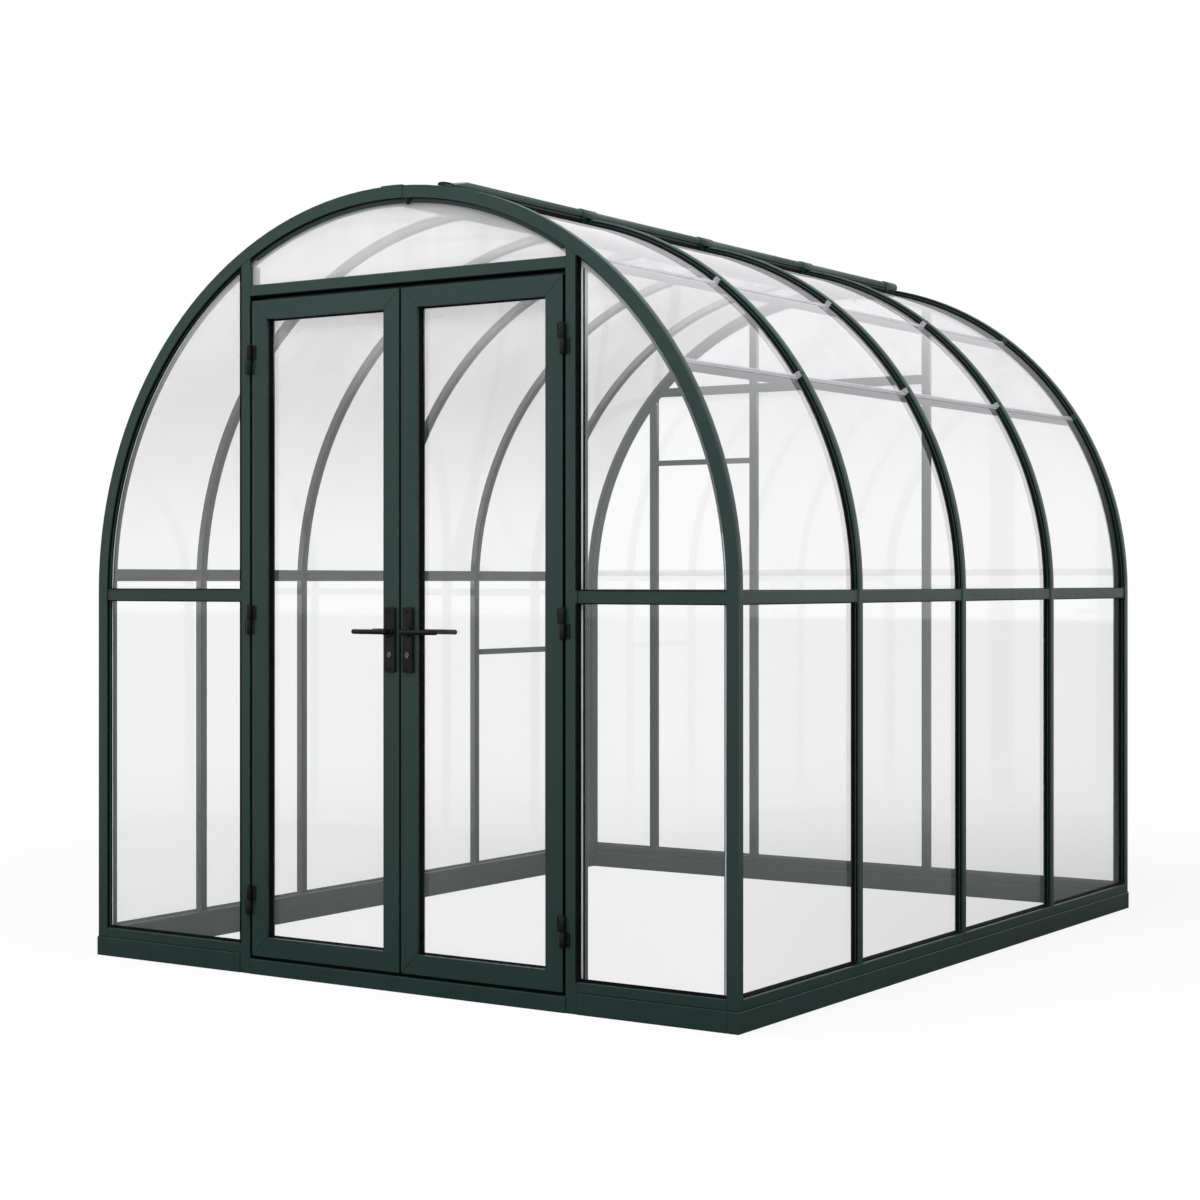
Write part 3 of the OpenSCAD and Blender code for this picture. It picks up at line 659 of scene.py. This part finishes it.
def pairs(values):
    """The values two by two: first and second, third and fourth, and so on."""
    return list(zip(values[::2], values[1::2]))


def side_bays(ribs):
    """Start and end, along the house, of each sheet of one side."""
    rib_edges = [y + s * rib_half for y in ribs for s in (-1, 1)]
    return pairs([front_y + frame_depth] + rib_edges + [back_y - frame_depth])


def along_house(side, spot, start, end):
    """Two stations along the house at one place of the outline; the second direction points up."""
    origin, inward, along = outline(side, 0, spot, spot + 0.001)[0]
    up = Vector((inward.z * side, 0, -inward.x * side))
    if up.z < 0:
        up = -up
    return [(origin + along * y, inward, up) for y in (start, end)]


def wedge(height):
    outer, inner = side_sheet - 0.0095, side_sheet + bite
    return [(outer, -bite), (inner, -bite), (inner, height), (inner - 0.0025, height),
            (outer, 0.4 * height)]


for name, side, ribs in (("right_side_seals", 1, right_ribs), ("left_side_seals", -1, left_ribs)):
    rail_bottom = rail_low if side == 1 else left_rail_spot - rail_half
    rail_top = rail_high if side == 1 else left_rail_spot + rail_half
    bodies = []
    for start, end in side_bays(ribs):
        bodies.append(extruded(wedge(seal_h), along_house(side, sill_top, start, end)))
        bodies.append(extruded(flipped(wedge(thin_h)), along_house(side, rail_bottom, start, end)))
        bodies.append(extruded(wedge(thin_h), along_house(side, rail_top, start, end)))
    piece(name, bodies, black_rubber, "house")

# %% [markdown]
# The end sheets sit in rubber too. One continuous profile runs round the inside of each arched
# frame, covers the flank of the frame in black and ends in a lip on the sheet, so that a black line
# always shows between the green frame and the clear sheet. It is partly a real seal and partly
# painted shade, for the flank lies in shade.

# %% Seals of the end frames and painted flank shade
face_w = 0.038
top_spot = along_arch(90)
on_end_sheet = end_sheet - bite
# The arch seal covers the flank of the frame in black: partly a real seal, partly painted shade.
arch_seal = [(face_w - bite, 0.0030), (face_w + 0.0010, 0.0040),
             (face_w + 0.0014, end_sheet - 0.0060), (face_w + 0.0064, end_sheet - 0.0035),
             (face_w + 0.0068, on_end_sheet), (face_w - bite, on_end_sheet)]
bodies = []
for side in (1, -1):
    bodies.append(extruded(arch_seal, outline(side, front_y, sill_top, top_spot)))
    bodies.append(extruded(flipped(arch_seal), outline(side, back_y, sill_top, top_spot)))
piece("end_arch_seals_and_flank_shade", bodies, black_rubber, "house")

# %% [markdown]
# Straight lengths of rubber follow the sill, the rails, the header and the posts. They are all
# lines on an end wall, so one helper gives the two stations of such a line from two places
# (across, up) and the direction in which the seal leaves its bar.

# %% Lines and seals on the end walls
front_wall, back_wall = (front_y, 1), (back_y, -1)


def line(wall, start, end, away):
    y, inward = wall
    directions = Vector((away[0], 0, away[1])), Vector((0, inward, 0))
    return [(Vector((x, y, z)), *directions) for x, z in (start, end)]


def arch_height(x, inset):
    """Height of the arch above a place across the house, inset by some distance from its outside."""
    return spring_z + math.sqrt((frame_out - inset) ** 2 - x * x)


def edge_seal(width, foot, shoulder):
    """Section as (distance from the bar, depth behind the face) for a seal beside a straight bar."""
    return [foot, shoulder, (0.0014, end_sheet - 0.0045), (width, end_sheet - 0.0020),
            (width, on_end_sheet), (-bite, on_end_sheet)]


sill_seal = edge_seal(seal_h, (-bite, 0.0060), (0.0010, 0.0070))
thin_seal = edge_seal(0.0030, (-bite, 0.0022), (0.0012, 0.0030))


def level_seals(wall, start, end, low, high):
    """Seals of one bay: on the sill, under the rail and over it."""
    levels = ((sill_top, 1, sill_seal), (low, -1, thin_seal), (high, 1, thin_seal))
    return [extruded(section, line(wall, (start, z), (end, z), (0, up))) for z, up, section in levels]


# %% [markdown]
# A bay of the front wall lies between a leg of the frame and a door post, measured without the
# flange that the sheet lies over. The seal of the post covers the side of the post in black and
# wraps round its corner: partly a real seal and partly painted shade, for that side lies in shade.

# %% Seals of the front wall and painted post shade
leg_in = frame_out - face_w
post_flange = 0.020
post_reach = posts[-1][1].x - posts[0][0].x - 2 * post_flange
post_faces = [(door_x + away * post_reach / 2, away) for away in (-1, 1)]
wrap = 0.0050
# Black over the side of each post: partly a real seal, partly painted shade.
post_seal_and_side_shade = [(-wrap, 0.0002), (-wrap, -0.0008), (0.0008, -0.0008), (0.0012, end_sheet - 0.0045),
             (0.0040, end_sheet - 0.0020), (0.0040, on_end_sheet), (-bite, on_end_sheet),
             (-bite, 0.0002)]
bodies = []
for face, away in post_faces:
    for start, end in ((sill_top, rail_low), (rail_high, arch_height(face, face_w))):
        bodies.append(extruded(post_seal_and_side_shade, line(front_wall, (face, start), (face, end), (away, 0))))
    bodies += level_seals(front_wall, face, away * leg_in, rail_low, rail_high)
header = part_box("door_header")
header_run = line(front_wall, (header[0].x, header[1].z), (header[1].x, header[1].z), (0, 1))
bodies.append(extruded(thin_seal, header_run))
piece("front_wall_seals", bodies, black_rubber, "house")

# %% [markdown]
# The back wall is glazed with the same seals, between its own posts and at its own rails.

# %% Seals of the back wall
back_bays = pairs([-leg_in] + [x for b in back_posts for x in (b[0].x, b[1].x)] + [leg_in])
back_low, back_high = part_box("back_rails")[0].z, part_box("back_rails")[1].z
bodies = []
for start, end in back_bays:
    bodies += level_seals(back_wall, start, end, back_low, back_high)
for box in back_posts:
    for x, away in ((box[0].x, -1), (box[1].x, 1)):
        for start, end in ((sill_top, back_low), (back_high, arch_height(x, face_w))):
            bodies.append(extruded(thin_seal, line(back_wall, (x, start), (x, end), (away, 0))))
piece("back_wall_seals", bodies, black_rubber, "house")

# %% [markdown]
# Beside the door posts and the legs of the front frame the clear sheets lie over a flange. A pale
# milky strip on the sheet over that overlap is a painted highlight: it stands for the light line
# along the edge of the flange. A thin rubber bead lies beside it at the posts. Under the top of
# the arch a green bead takes the place of the strip.

# %% Painted highlight strips and fanlight bead
def on_sheet(start, end, rise=0.0010):
    """Section of a flat strip on the end sheets, from start to end beside a bar."""
    return [(start, on_end_sheet), (start, on_end_sheet - rise), (end, on_end_sheet - rise),
            (end, on_end_sheet)]


low_stretch = (sill_top + seal_h, rail_low - 0.003)
high_start = rail_high + 0.003
strip_out, strip_inset = 0.016, 0.058
strip_tops = {1: along_arch(8), -1: along_arch(56)}
bead_foot, bead_edge, bead_face = face_w + 0.0040, face_w + 0.0138, 0.0102
bead = [(bead_foot, bead_face), (face_w + 0.0130, bead_face), (bead_edge, 0.0112),
        (bead_edge, end_sheet - 0.0002), (bead_foot, end_sheet - 0.0002)]
# pale holds the strips of painted highlight.
pale, dark, green = [], [], []
for face, away in post_faces:
    strip_top = arch_height(face + away * strip_out, strip_inset)
    for start, end in (low_stretch, (high_start, strip_top)):
        run = line(front_wall, (face, start), (face, end), (away, 0))
        pale.append(extruded(on_sheet(0.0042, 0.0100), run))
        dark.append(extruded(on_sheet(0.0115, 0.0155, 0.0014), run))
for side in (1, -1):
    for start, end in (low_stretch, (high_start, strip_tops[side])):
        run = outline(side, front_y, start, end)
        pale.append(extruded(on_sheet(face_w + 0.0092, face_w + 0.0124), run))
    post_x = posts[-1][0].x if side == 1 else -posts[0][1].x
    bead_start = along_arch(math.degrees(math.acos(post_x / (frame_out - face_w - 0.012))))
    green.append(extruded(bead, outline(side, front_y, bead_start, top_spot)))
piece("painted_highlight_strips", pale, edge_strip, "house")
piece("post_edge_beads", dark, black_rubber, "house")
piece("fanlight_bead", green, green_coat, "house")

# %% [markdown]
# Where the sill rails and the legs stand on the plinth, a thin rubber joint is squeezed between
# them. It runs round the whole house and stops at the door posts.

# %% Joint on the plinth
plinth_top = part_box("base_front")[1].z
joint_in = 0.0005
joint_section = [(-joint_in, -0.0002), (0.0010, -0.0002), (0.0010, 0.0016), (-joint_in, 0.0016)]
turns = [((posts[-1][1].x - joint_in, front_y), (0, -1)), ((frame_out, front_y), (1, -1)),
         ((frame_out, back_y), (1, 1)), ((-frame_out, back_y), (-1, 1)),
         ((-frame_out, front_y), (-1, -1)), ((posts[0][0].x + joint_in, front_y), (0, -1))]
ring = [(Vector((x, y, plinth_top)), Vector((u, v, 0)), Vector((0, 0, 1))) for (x, y), (u, v) in turns]
piece("plinth_joint", [extruded(joint_section, ring)], black_rubber, "house")

# %% [markdown]
# Each door leaf holds its sheet in a rubber frame with mitred corners. The leaves meet over a
# rubber strip fixed to the left one, and a thin black strip lines the hinge edge of each leaf. These
# strips fill the gaps round the leaves with black: partly real weather strips and partly painted
# shade, for the gaps lie in shade. The posts and the header carry seals that the leaves close
# against. All of these stay clear of whatever passes them when a leaf swings.

# %% Seals of the doors and painted gap shade
def corners(box_low, box_high, y):
    """Four mitred stations round an opening; the first direction points into the opening."""
    x0, x1, z0, z1 = box_low.x, box_high.x, box_low.z, box_high.z
    spots = [((x0, z0), (1, 1)), ((x1, z0), (-1, 1)), ((x1, z1), (-1, -1)), ((x0, z1), (1, -1))]
    return [(Vector((x, y, z)), Vector((u, 0, w)), Vector((0, 1, 0))) for (x, z), (u, w) in spots]


def strip_on_bar(rises, depths):
    """Section of a rubber strip on a bar: two points of its crown between its two feet."""
    return list(zip((-bite, *rises, -bite), depths))


bar_width = 0.060
pane_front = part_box("door_pane_left")[0].y
pane_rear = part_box("door_pane_left")[1].y
depth, back_depth = pane_front - leaf_front, pane_rear - leaf_front
front_seal = [(-bite, 0.0105), (0.0008, 0.0115), (0.0012, depth - 0.0050), (0.0040, depth - 0.0020),
              (0.0040, depth - 0.0002), (-bite, depth - 0.0002)]
back_seal = strip_on_bar((0.0035, 0.0035), (back_depth + 0.0002, back_depth + 0.0002,
                                            back_depth + 0.0020, leaf_back - leaf_front - 0.0010))
# Meeting and hinge strips: black in the gaps beside each leaf, partly weather strip and partly painted
# shade.
meeting_strip_and_gap_shade = strip_on_bar((0.0048, 0.0050), (0.0018, 0.0030, 0.0260, 0.0290))
hinge_strip_and_gap_shade = strip_on_bar((0.0009, 0.0009), (0.0030, 0.0040, 0.0340, 0.0350))
bottom_strip = strip_on_bar((0.0040, 0.0040), (0.0060, 0.0090, 0.0200, 0.0230))
leaf_face = (leaf_front, 1)
end_gap = 0.004
for side, (low, high) in leaves.items():
    inset = Vector((bar_width, 0, bar_width))
    stations = corners(low + inset, high - inset, leaf_front)
    bodies = [extruded(front_seal, stations, ring=True), extruded(back_seal, stations, ring=True)]
    hinge_edge, away = (low.x, -1) if side == "left" else (high.x, 1)
    edges = [(meeting_strip_and_gap_shade, high.x, 1)] if side == "left" else []
    for section, x, direction in edges + [(hinge_strip_and_gap_shade, hinge_edge, away)]:
        run = line(leaf_face, (x, low.z + end_gap), (x, high.z - end_gap), (direction, 0))
        bodies.append(extruded(section, run))
    run = line(leaf_face, (low.x + end_gap, low.z), (high.x - end_gap, low.z), (0, -1))
    bodies.append(extruded(bottom_strip, run))
    piece("door_seals_" + side, bodies, black_rubber, side + "_door")

# %% [markdown]
# The seals on the posts and under the header belong to the house. Those on the posts line the
# gaps beside the leaves in black: partly real seals and partly painted shade, for the gaps lie in
# shade. They stay where they are when a leaf swings, so they ride on another body than the seals
# of the leaves.

# %% Seals round the doorway and painted gap shade
hinge_gap = 0.010
strip_low, strip_high, under_header = 0.050, header[1].z - 0.034, header[1].z - 0.033
post_in = [leaves["left"][0].x - hinge_gap, leaves["right"][1].x + hinge_gap]
# strip: black lining of the gaps beside the leaves, partly a seal and partly painted shade.
strip = strip_on_bar((0.0030, 0.0035), (0.0025, 0.0050, 0.0410, 0.0425))
bodies = []
for x, away in zip(post_in, (1, -1)):
    bodies.append(extruded(strip, line(front_wall, (x, strip_low), (x, strip_high), (away, 0))))
ends = [(post_in[0] + end_gap, under_header), (post_in[1] - end_gap, under_header)]
bodies.append(extruded(strip, line(front_wall, *ends, (0, -1))))
piece("door_frame_seals", bodies, black_rubber, "house")

# %% [markdown]
# The roof sheets on the right are in three lengths, one above the other, and a milky joining
# strip closes each joint over a purlin. The strips are extruded with a raised ridge along the
# middle, and a light end block folds down over the flank of every rib they meet. A similar but
# nearly clear strip crosses the back wall a little above its rails.

# %% Joining strips
def strip_section(half, base):
    """Section as (inset, distance up the slope) of a strip lying on a sheet."""
    profile = [(0.0, 1.0), (0.0012, 1.0), (0.0022, 0.86), (0.0022, 0.30), (0.0036, 0.20)]
    upper = [(base - rise, half * share) for rise, share in profile]
    return upper + [(a, -b) for a, b in reversed(upper)]


block = 0.0055
on_side_sheet = side_sheet - 0.0002
joint = strip_section(0.0090, on_side_sheet)
block_section = [(0.0046, 0.0095), (on_side_sheet, 0.0110), (on_side_sheet, -0.0110), (0.0046, -0.0095),
                 (0.0036, -0.0080), (0.0036, 0.0080)]
strips, blocks = [], []
for spot in [along_arch(angle) for angle in purlin_angles]:
    for start, end in side_bays(right_ribs):
        strips.append(extruded(joint, along_house(1, spot, start + block, end - block)))
    for y in right_ribs:
        near, far = y - rib_half, y + rib_half
        for start, end in ((near - block, near + bite), (far - bite, far + block)):
            blocks.append(extruded(block_section, along_house(1, spot, start, end)))
piece("roof_joining_strips", strips, roof_strip, "house")
piece("roof_strip_ends", blocks, roof_strip, "house")

wall_joint_z = middle(left_rail).z + 0.0135
flat_joint = [(a, b) for b, a in strip_section(0.013, end_sheet - 0.0002)]
leg_gap, post_gap = 0.012, 0.0015
bodies = []
for start, end in back_bays:
    low_x = start + (leg_gap if start == -leg_in else post_gap)
    high_x = end - (leg_gap if end == leg_in else post_gap)
    run = line(back_wall, (low_x, wall_joint_z), (high_x, wall_joint_z), (0, 1))
    bodies.append(extruded(flat_joint, run))
piece("back_wall_joining_strips", bodies, wall_strip, "house")

# %% [markdown]
# Locks and small fittings. Each handle plate has a lock cylinder with its keyway below the lever
# and a thick collar round the spindle. Two black dome-headed screws hold each plate.

# %% Locks, collars and screws
def screw(origin, axis, r):
    """A domed head with a round recess, its rim lying on the surface."""
    head = [(0, -0.001), (r, -0.001), (r, 0.15 * r), (0.9 * r, 0.42 * r), (0.6 * r, 0.66 * r),
            (0.42 * r, 0.72 * r), (0.36 * r, 0.3 * r), (0, 0.24 * r)]
    return turned(head, origin, axis, 16)


def stretched_up(body, centre_z, factor):
    """Makes a turned body oval: taller by a factor about one height."""
    points, faces = body
    return [Vector((p.x, p.y, centre_z + (p.z - centre_z) * factor)) for p in points], faces


lock_drop, lock_oval, screw_reach, plate_screw_r = 0.069, 1.35, 0.086, 0.0040
barrel = [(0, -0.002), (0.0070, -0.002), (0.0070, 0.0022), (0.0064, 0.0030), (0.0044, 0.0030),
          (0.0040, 0.0018), (0, 0.0018)]
slit = [(-0.0009, -0.0036), (0.0009, -0.0036), (0.0009, 0.0036), (-0.0009, 0.0036)]
collar = [(0.0094, -0.001), (0.0140, -0.001), (0.0145, 0.0025), (0.0138, 0.0050), (0.0120, 0.0062),
          (0.0094, 0.0062), (0.0094, -0.001)]
for side in ("left", "right"):
    plates = sorted(solid_boxes("handle_plates_" + side), key=lambda b: b[0].y)
    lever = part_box("lever_" + side)
    spindle_x = middle(plates[0]).x
    spindle_z = middle(lever).z
    lock_z = spindle_z - lock_drop
    locks, blacks = [], []
    for box, y, out in ((plates[0], plates[0][0].y, -1), (plates[-1], plates[-1][1].y, 1)):
        axis = (0, out, 0)
        cylinder = turned(barrel, (spindle_x, y, lock_z), axis, 32)
        locks.append(stretched_up(cylinder, lock_z, lock_oval))
        ends = [Vector((spindle_x, y + out * d, lock_z)) for d in (0.0010, 0.0024)]
        blacks.append(extruded(slit, [(end, Vector((1, 0, 0)), Vector((0, 0, 1))) for end in ends]))
        blacks.append(turned(collar, (spindle_x, y, spindle_z), axis, 40))
        for dz in (-screw_reach, screw_reach):
            blacks.append(screw((spindle_x, y, middle(box).z + dz), axis, plate_screw_r))
    piece("lock_cylinders_" + side, locks, nickel, side + "_door")
    piece("plate_collars_and_screws_" + side, blacks, black_furniture, side + "_door")

# %% [markdown]
# The leaves hang on three hinges each. The wings on the posts belong to the house and carry the
# lower half of the knuckle, and the wings on the leaves carry the upper half, so the two are the
# same piece turned over. A domed plug closes each half, and each wing takes two screws.

# %% Hinge plugs and screws
knuckle_r, plate_t = 0.008, 0.003
screw_out, hinge_screw_r = 0.015, 0.0030
dome = [(0, -0.002), (0.0080, -0.001), (0.0080, 0.0006), (0.0066, 0.0018), (0.0036, 0.0026),
        (0, 0.0029)]
wing_boxes = {"house": solid_boxes("frame_hinges")}
for side in ("left", "right"):
    wing_boxes[side + "_door"] = solid_boxes("leaf_hinges_" + side)
for body, boxes in wing_boxes.items():
    free_end = -1 if body == "house" else 1
    bodies = []
    for low, high in boxes:
        on_right = middle((low, high)).x > door_x
        plate_side = -free_end if on_right else free_end
        knuckle_x = low.x + knuckle_r if plate_side == 1 else high.x - knuckle_r
        end_z = low.z if body == "house" else high.z
        plug_place = (knuckle_x, low.y + knuckle_r, end_z)
        bodies.append(turned(dome, plug_place, (0, 0, free_end), 24))
        for rise in (0.012, 0.036):
            screw_place = (knuckle_x + plate_side * screw_out, high.y - plate_t, end_z - free_end * rise)
            bodies.append(screw(screw_place, (0, -1, 0), hinge_screw_r))
    piece("hinge_plugs_and_screws_" + body, bodies, black_furniture, body)

# %% [markdown]
# A black plug closes each end of the clamp bar on the roof: a round cap on the back end, and a
# low arched nose under the front end. The bar lies on a slope, so both are built on the direction
# across the bar and the direction out of the roof.

# %% Clamp bar plugs
bar_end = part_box("ridge_bar")[1].y
slope = math.radians(90 - bar_angle)
across = Vector((math.cos(slope), 0, -math.sin(slope)))
outward = Vector((math.sin(slope), 0, math.cos(slope)))
end_cap = [(0, -0.001), (0.0172, -0.001), (0.0180, 0.0020), (0.0165, 0.0045), (0.0120, 0.0058),
           (0.0108, 0.0050), (0, 0.0050)]
cap_centre = Vector((0, bar_end, spring_z)) + outward * (frame_out + 0.009)
nose_half, nose_edge, nose_high = 0.0300, 0.004, 0.0125
nose = [(-nose_half, bite), (nose_half, bite)]
for turn in [math.pi * k / 12 for k in range(13)]:
    nose.append((nose_half * math.cos(turn), nose_edge + (nose_high - nose_edge) * math.sin(turn)))
nose_foot = Vector((0, front_y + 0.001, spring_z)) + outward * frame_out - across * 0.0125
nose_run = [(nose_foot + Vector((0, d, 0)), across, outward) for d in (0.0, 0.030)]
bodies = [turned(end_cap, cap_centre, (0, 1, 0), 40), extruded(nose, nose_run)]
piece("clamp_bar_plugs", bodies, black_furniture, "house")

# %% [markdown]
# The clamp bar presses on the roof sheets through a rubber foot along each side, and a second thin
# strip of rubber lies in the snap joint above it. The foot blacks out the lower part of each side
# of the bar: partly real rubber and partly painted shade under the bar. Both stop at the saddles
# over the ribs and at the cap on the back end.

# %% Rubber and painted shade of the clamp bar
bar_half, saddle_half, cap_length, run_gap = 0.015, 0.042, 0.090, 0.001
in_bar = bar_half - bite
# foot: black along the lower part of each side of the bar, partly rubber and partly painted shade.
foot = [(in_bar, 0.0004), (bar_half + 0.0030, 0.0004), (bar_half + 0.0012, 0.0150), (in_bar, 0.0150)]
snap = [(in_bar, 0.0205), (bar_half + 0.0009, 0.0205), (bar_half + 0.0009, 0.0240), (in_bar, 0.0240)]
on_sheets = Vector((0, 0, spring_z)) + outward * (frame_out - side_sheet + 0.0008)
saddle_edges = [y + s * saddle_half for y in right_ribs for s in (-1, 1)]
bodies = []
for start, end in pairs([front_y + frame_depth] + saddle_edges + [bar_end - cap_length]):
    places = [on_sheets + Vector((0, y, 0)) for y in (start + run_gap, end - run_gap)]
    for section in (foot, snap):
        for s in (-1, 1):
            bodies.append(extruded(section, [(place, across * s, outward) for place in places]))
piece("clamp_bar_rubber_and_shade", bodies, black_rubber, "house")

# %% [markdown]
# The two halves of an end frame meet at the apex. Under that joint, a little to the right of the
# middle, hangs a bolt with a six-sided head and a thinner end, on the front and the back frame.

# %% Apex bolts
bolt_angle = math.radians(90 - 3.55)
bolt_out = Vector((math.cos(bolt_angle), 0, math.sin(bolt_angle)))
bolt_place = Vector((0, front_y + 0.008, spring_z)) + bolt_out * (frame_out - face_w - 0.0002)
bolt = [(0, -0.001), (0.0095, -0.001), (0.0095, 0.0060), (0.0080, 0.0075), (0.0055, 0.0075),
        (0.0055, 0.0180), (0.0045, 0.0195), (0, 0.0195)]
bodies = []
for end in (1, -1):
    bodies.append(turned(bolt, (bolt_place.x, end * bolt_place.y, bolt_place.z), -bolt_out, 6))
piece("apex_bolts", bodies, black_furniture, "house")

# %% [markdown]
# Small rounded plates with two screws lie on the inside: one on each left rib where the mid rail
# crosses it, and one on each back post where the joining strip crosses.

# %% Brackets inside
def bracket(corner, along, up, out, size):
    """A rounded gusset plate lying on the inner face of a bar, with two screws."""
    s, r, thick = size, 0.3 * size, 0.0022
    shape = [(-s, -s + r), (-s + r, -s), (s - r, -s), (s, -s + r), (s, s - r), (s - r, s),
             (-s + r, s), (-s, s - r)]
    plate = extruded(shape, [(corner + out * d, along, up) for d in (-0.0002, thick)])
    screws = [screw(corner + along * (k * 0.5 * s) + out * thick, out, 0.0032) for k in (-1, 1)]
    return [plate] + screws


rib_depth = 0.030
bodies = []
for y in left_ribs:
    origin, inward, up = along_house(-1, left_rail_spot, y, y)[0]
    bodies += bracket(origin + inward * rib_depth, Vector((0, 1, 0)), up, inward, 0.0105)
for box in back_posts:
    corner = Vector((middle(box).x, box[0].y, wall_joint_z))
    bodies += bracket(corner, Vector((1, 0, 0)), Vector((0, 0, 1)), Vector((0, -1, 0)), 0.010)
piece("inner_brackets", bodies, black_furniture, "house")

# %% [markdown]
# The floor is plain and white, as in a studio. It mixes a plain white, which never greys, with a
# matt white that keeps the shadow of the house, and away from the house it is plain white only.
# In the gloss of the bars the floor is a shaded grey, as it is at the foot of a lit backdrop, so
# the bars are darkest near the ground and lighten upward.

# %% Floor
white_shares, white_reach = (0.86, 1.0), (2.2, 5.0)
gloss_shades, gloss_reach = (0.09, 0.60), (1.8, 6.0)


def make_floor():
    """A wide floor; the shares and shades go from the house outward between two distances."""
    size = 60.0
    mesh = bpy.data.meshes.new("floor")
    corners_of_floor = [(-size, -size, 0), (size, -size, 0), (size, size, 0), (-size, size, 0)]
    mesh.from_pydata(corners_of_floor, [], [(0, 1, 2, 3)])
    floor = bpy.data.objects.new("floor", mesh)
    bpy.context.scene.collection.objects.link(floor)
    material, tree, shader = new_material("white_floor")
    shader.inputs["Base Color"].default_value = (0.55, 0.55, 0.55, 1)
    shader.inputs["Roughness"].default_value = 0.9
    shader.inputs["Specular IOR Level"].default_value = 0.0
    glow = tree.nodes.new("ShaderNodeEmission")
    rays = tree.nodes.new("ShaderNodeLightPath")
    seen = sums(tree, "MAXIMUM", rays.outputs["Is Camera Ray"], rays.outputs["Is Transmission Ray"])
    in_gloss = rays.outputs["Is Glossy Ray"]
    place = tree.nodes.new("ShaderNodeTexCoord")
    distance = tree.nodes.new("ShaderNodeVectorMath")
    distance.operation = "LENGTH"
    feed(tree, place.outputs["Object"], distance.inputs[0])
    white_share = remap(tree, distance.outputs["Value"], *white_shares, *white_reach)
    shade = remap(tree, distance.outputs["Value"], *gloss_shades, *gloss_reach)
    feed(tree, sums(tree, "MAXIMUM", seen, shade), glow.inputs["Strength"])
    share = sums(tree, "MAXIMUM", sums(tree, "MULTIPLY", seen, white_share), in_gloss)
    feed(tree, blend_shaders(tree, share, shader.outputs["BSDF"], glow.outputs["Emission"]),
         tree.nodes["Material Output"].inputs["Surface"])
    mesh.materials.append(material)
    return floor


floor = make_floor()
print("floor ready")

# %% [markdown]
# All round the house it is white too. The world is white to the camera, to mirrors and to clear
# sheets, but lights the house more gently, so that the dark bars keep their depth.

# %% World
room_light = 0.55
world = bpy.data.worlds.new("studio")
bpy.context.scene.world = world
world.use_nodes = True
sky = world.node_tree
backdrop = sky.nodes["Background"]
backdrop.inputs["Color"].default_value = (1, 1, 1, 1)
rays = sky.nodes.new("ShaderNodeLightPath")
seen = rays.outputs["Is Camera Ray"]
for kind in ("Is Glossy Ray", "Is Transmission Ray"):
    seen = sums(sky, "MAXIMUM", seen, rays.outputs[kind])
level = remap(sky, seen, room_light, 1.0, 0.0, 1.0)
feed(sky, level, backdrop.inputs["Strength"])
print("world ready, lighting at", room_light)


# %% [markdown]
# Three wide lamps light the house: one above the front and one on each side. They are hidden
# from gloss. A lamp mirrored in a clear roof sheet would be a hard white patch, while the even
# white world gives the sheets and the coat a calm reflection from every side.

# %% Lamps
def soft_lamp(name, place, aim, size, watts):
    lamp = bpy.data.lights.new(name, "AREA")
    lamp.shape = "DISK"
    lamp.size = size
    lamp.energy = watts
    thing = bpy.data.objects.new(name, lamp)
    thing.location = place
    thing.visible_glossy = False
    direction = Vector(aim) - Vector(place)
    thing.rotation_euler = direction.to_track_quat("-Z", "Y").to_euler()
    bpy.context.scene.collection.objects.link(thing)
    return thing


soft_lamp("overhead", place=(0.8, -2.6, 6.2), aim=(0, 0, 1.0), size=4.5, watts=560)
soft_lamp("right_lamp", place=(8.0, -4.5, 2.6), aim=(0, 0, 1.2), size=2.0, watts=110)
soft_lamp("left_lamp", place=(-8.0, -2.5, 2.6), aim=(0, 0, 1.2), size=2.0, watts=190)
print("three lamps placed")

# %% [markdown]
# The camera stands off the front right corner, about as high as the springing of the roof, and
# looks level, so that upright bars stay upright. A small shift of the lens, and no tilt, puts the
# house in the middle. The plain view transform leaves white as white.

# %% Camera
camera_data = bpy.data.cameras.new("view")
camera_data.lens = 69.205
camera_data.shift_y = -0.01646
camera = bpy.data.objects.new("view", camera_data)
camera.location = (4.3646, -6.8765, 1.2336)
camera.rotation_euler = (math.radians(90), 0, math.radians(33.580))
bpy.context.scene.collection.objects.link(camera)
bpy.context.scene.camera = camera
bpy.context.scene.view_settings.view_transform = "Standard"
print("camera at", tuple(round(v, 3) for v in camera.location))
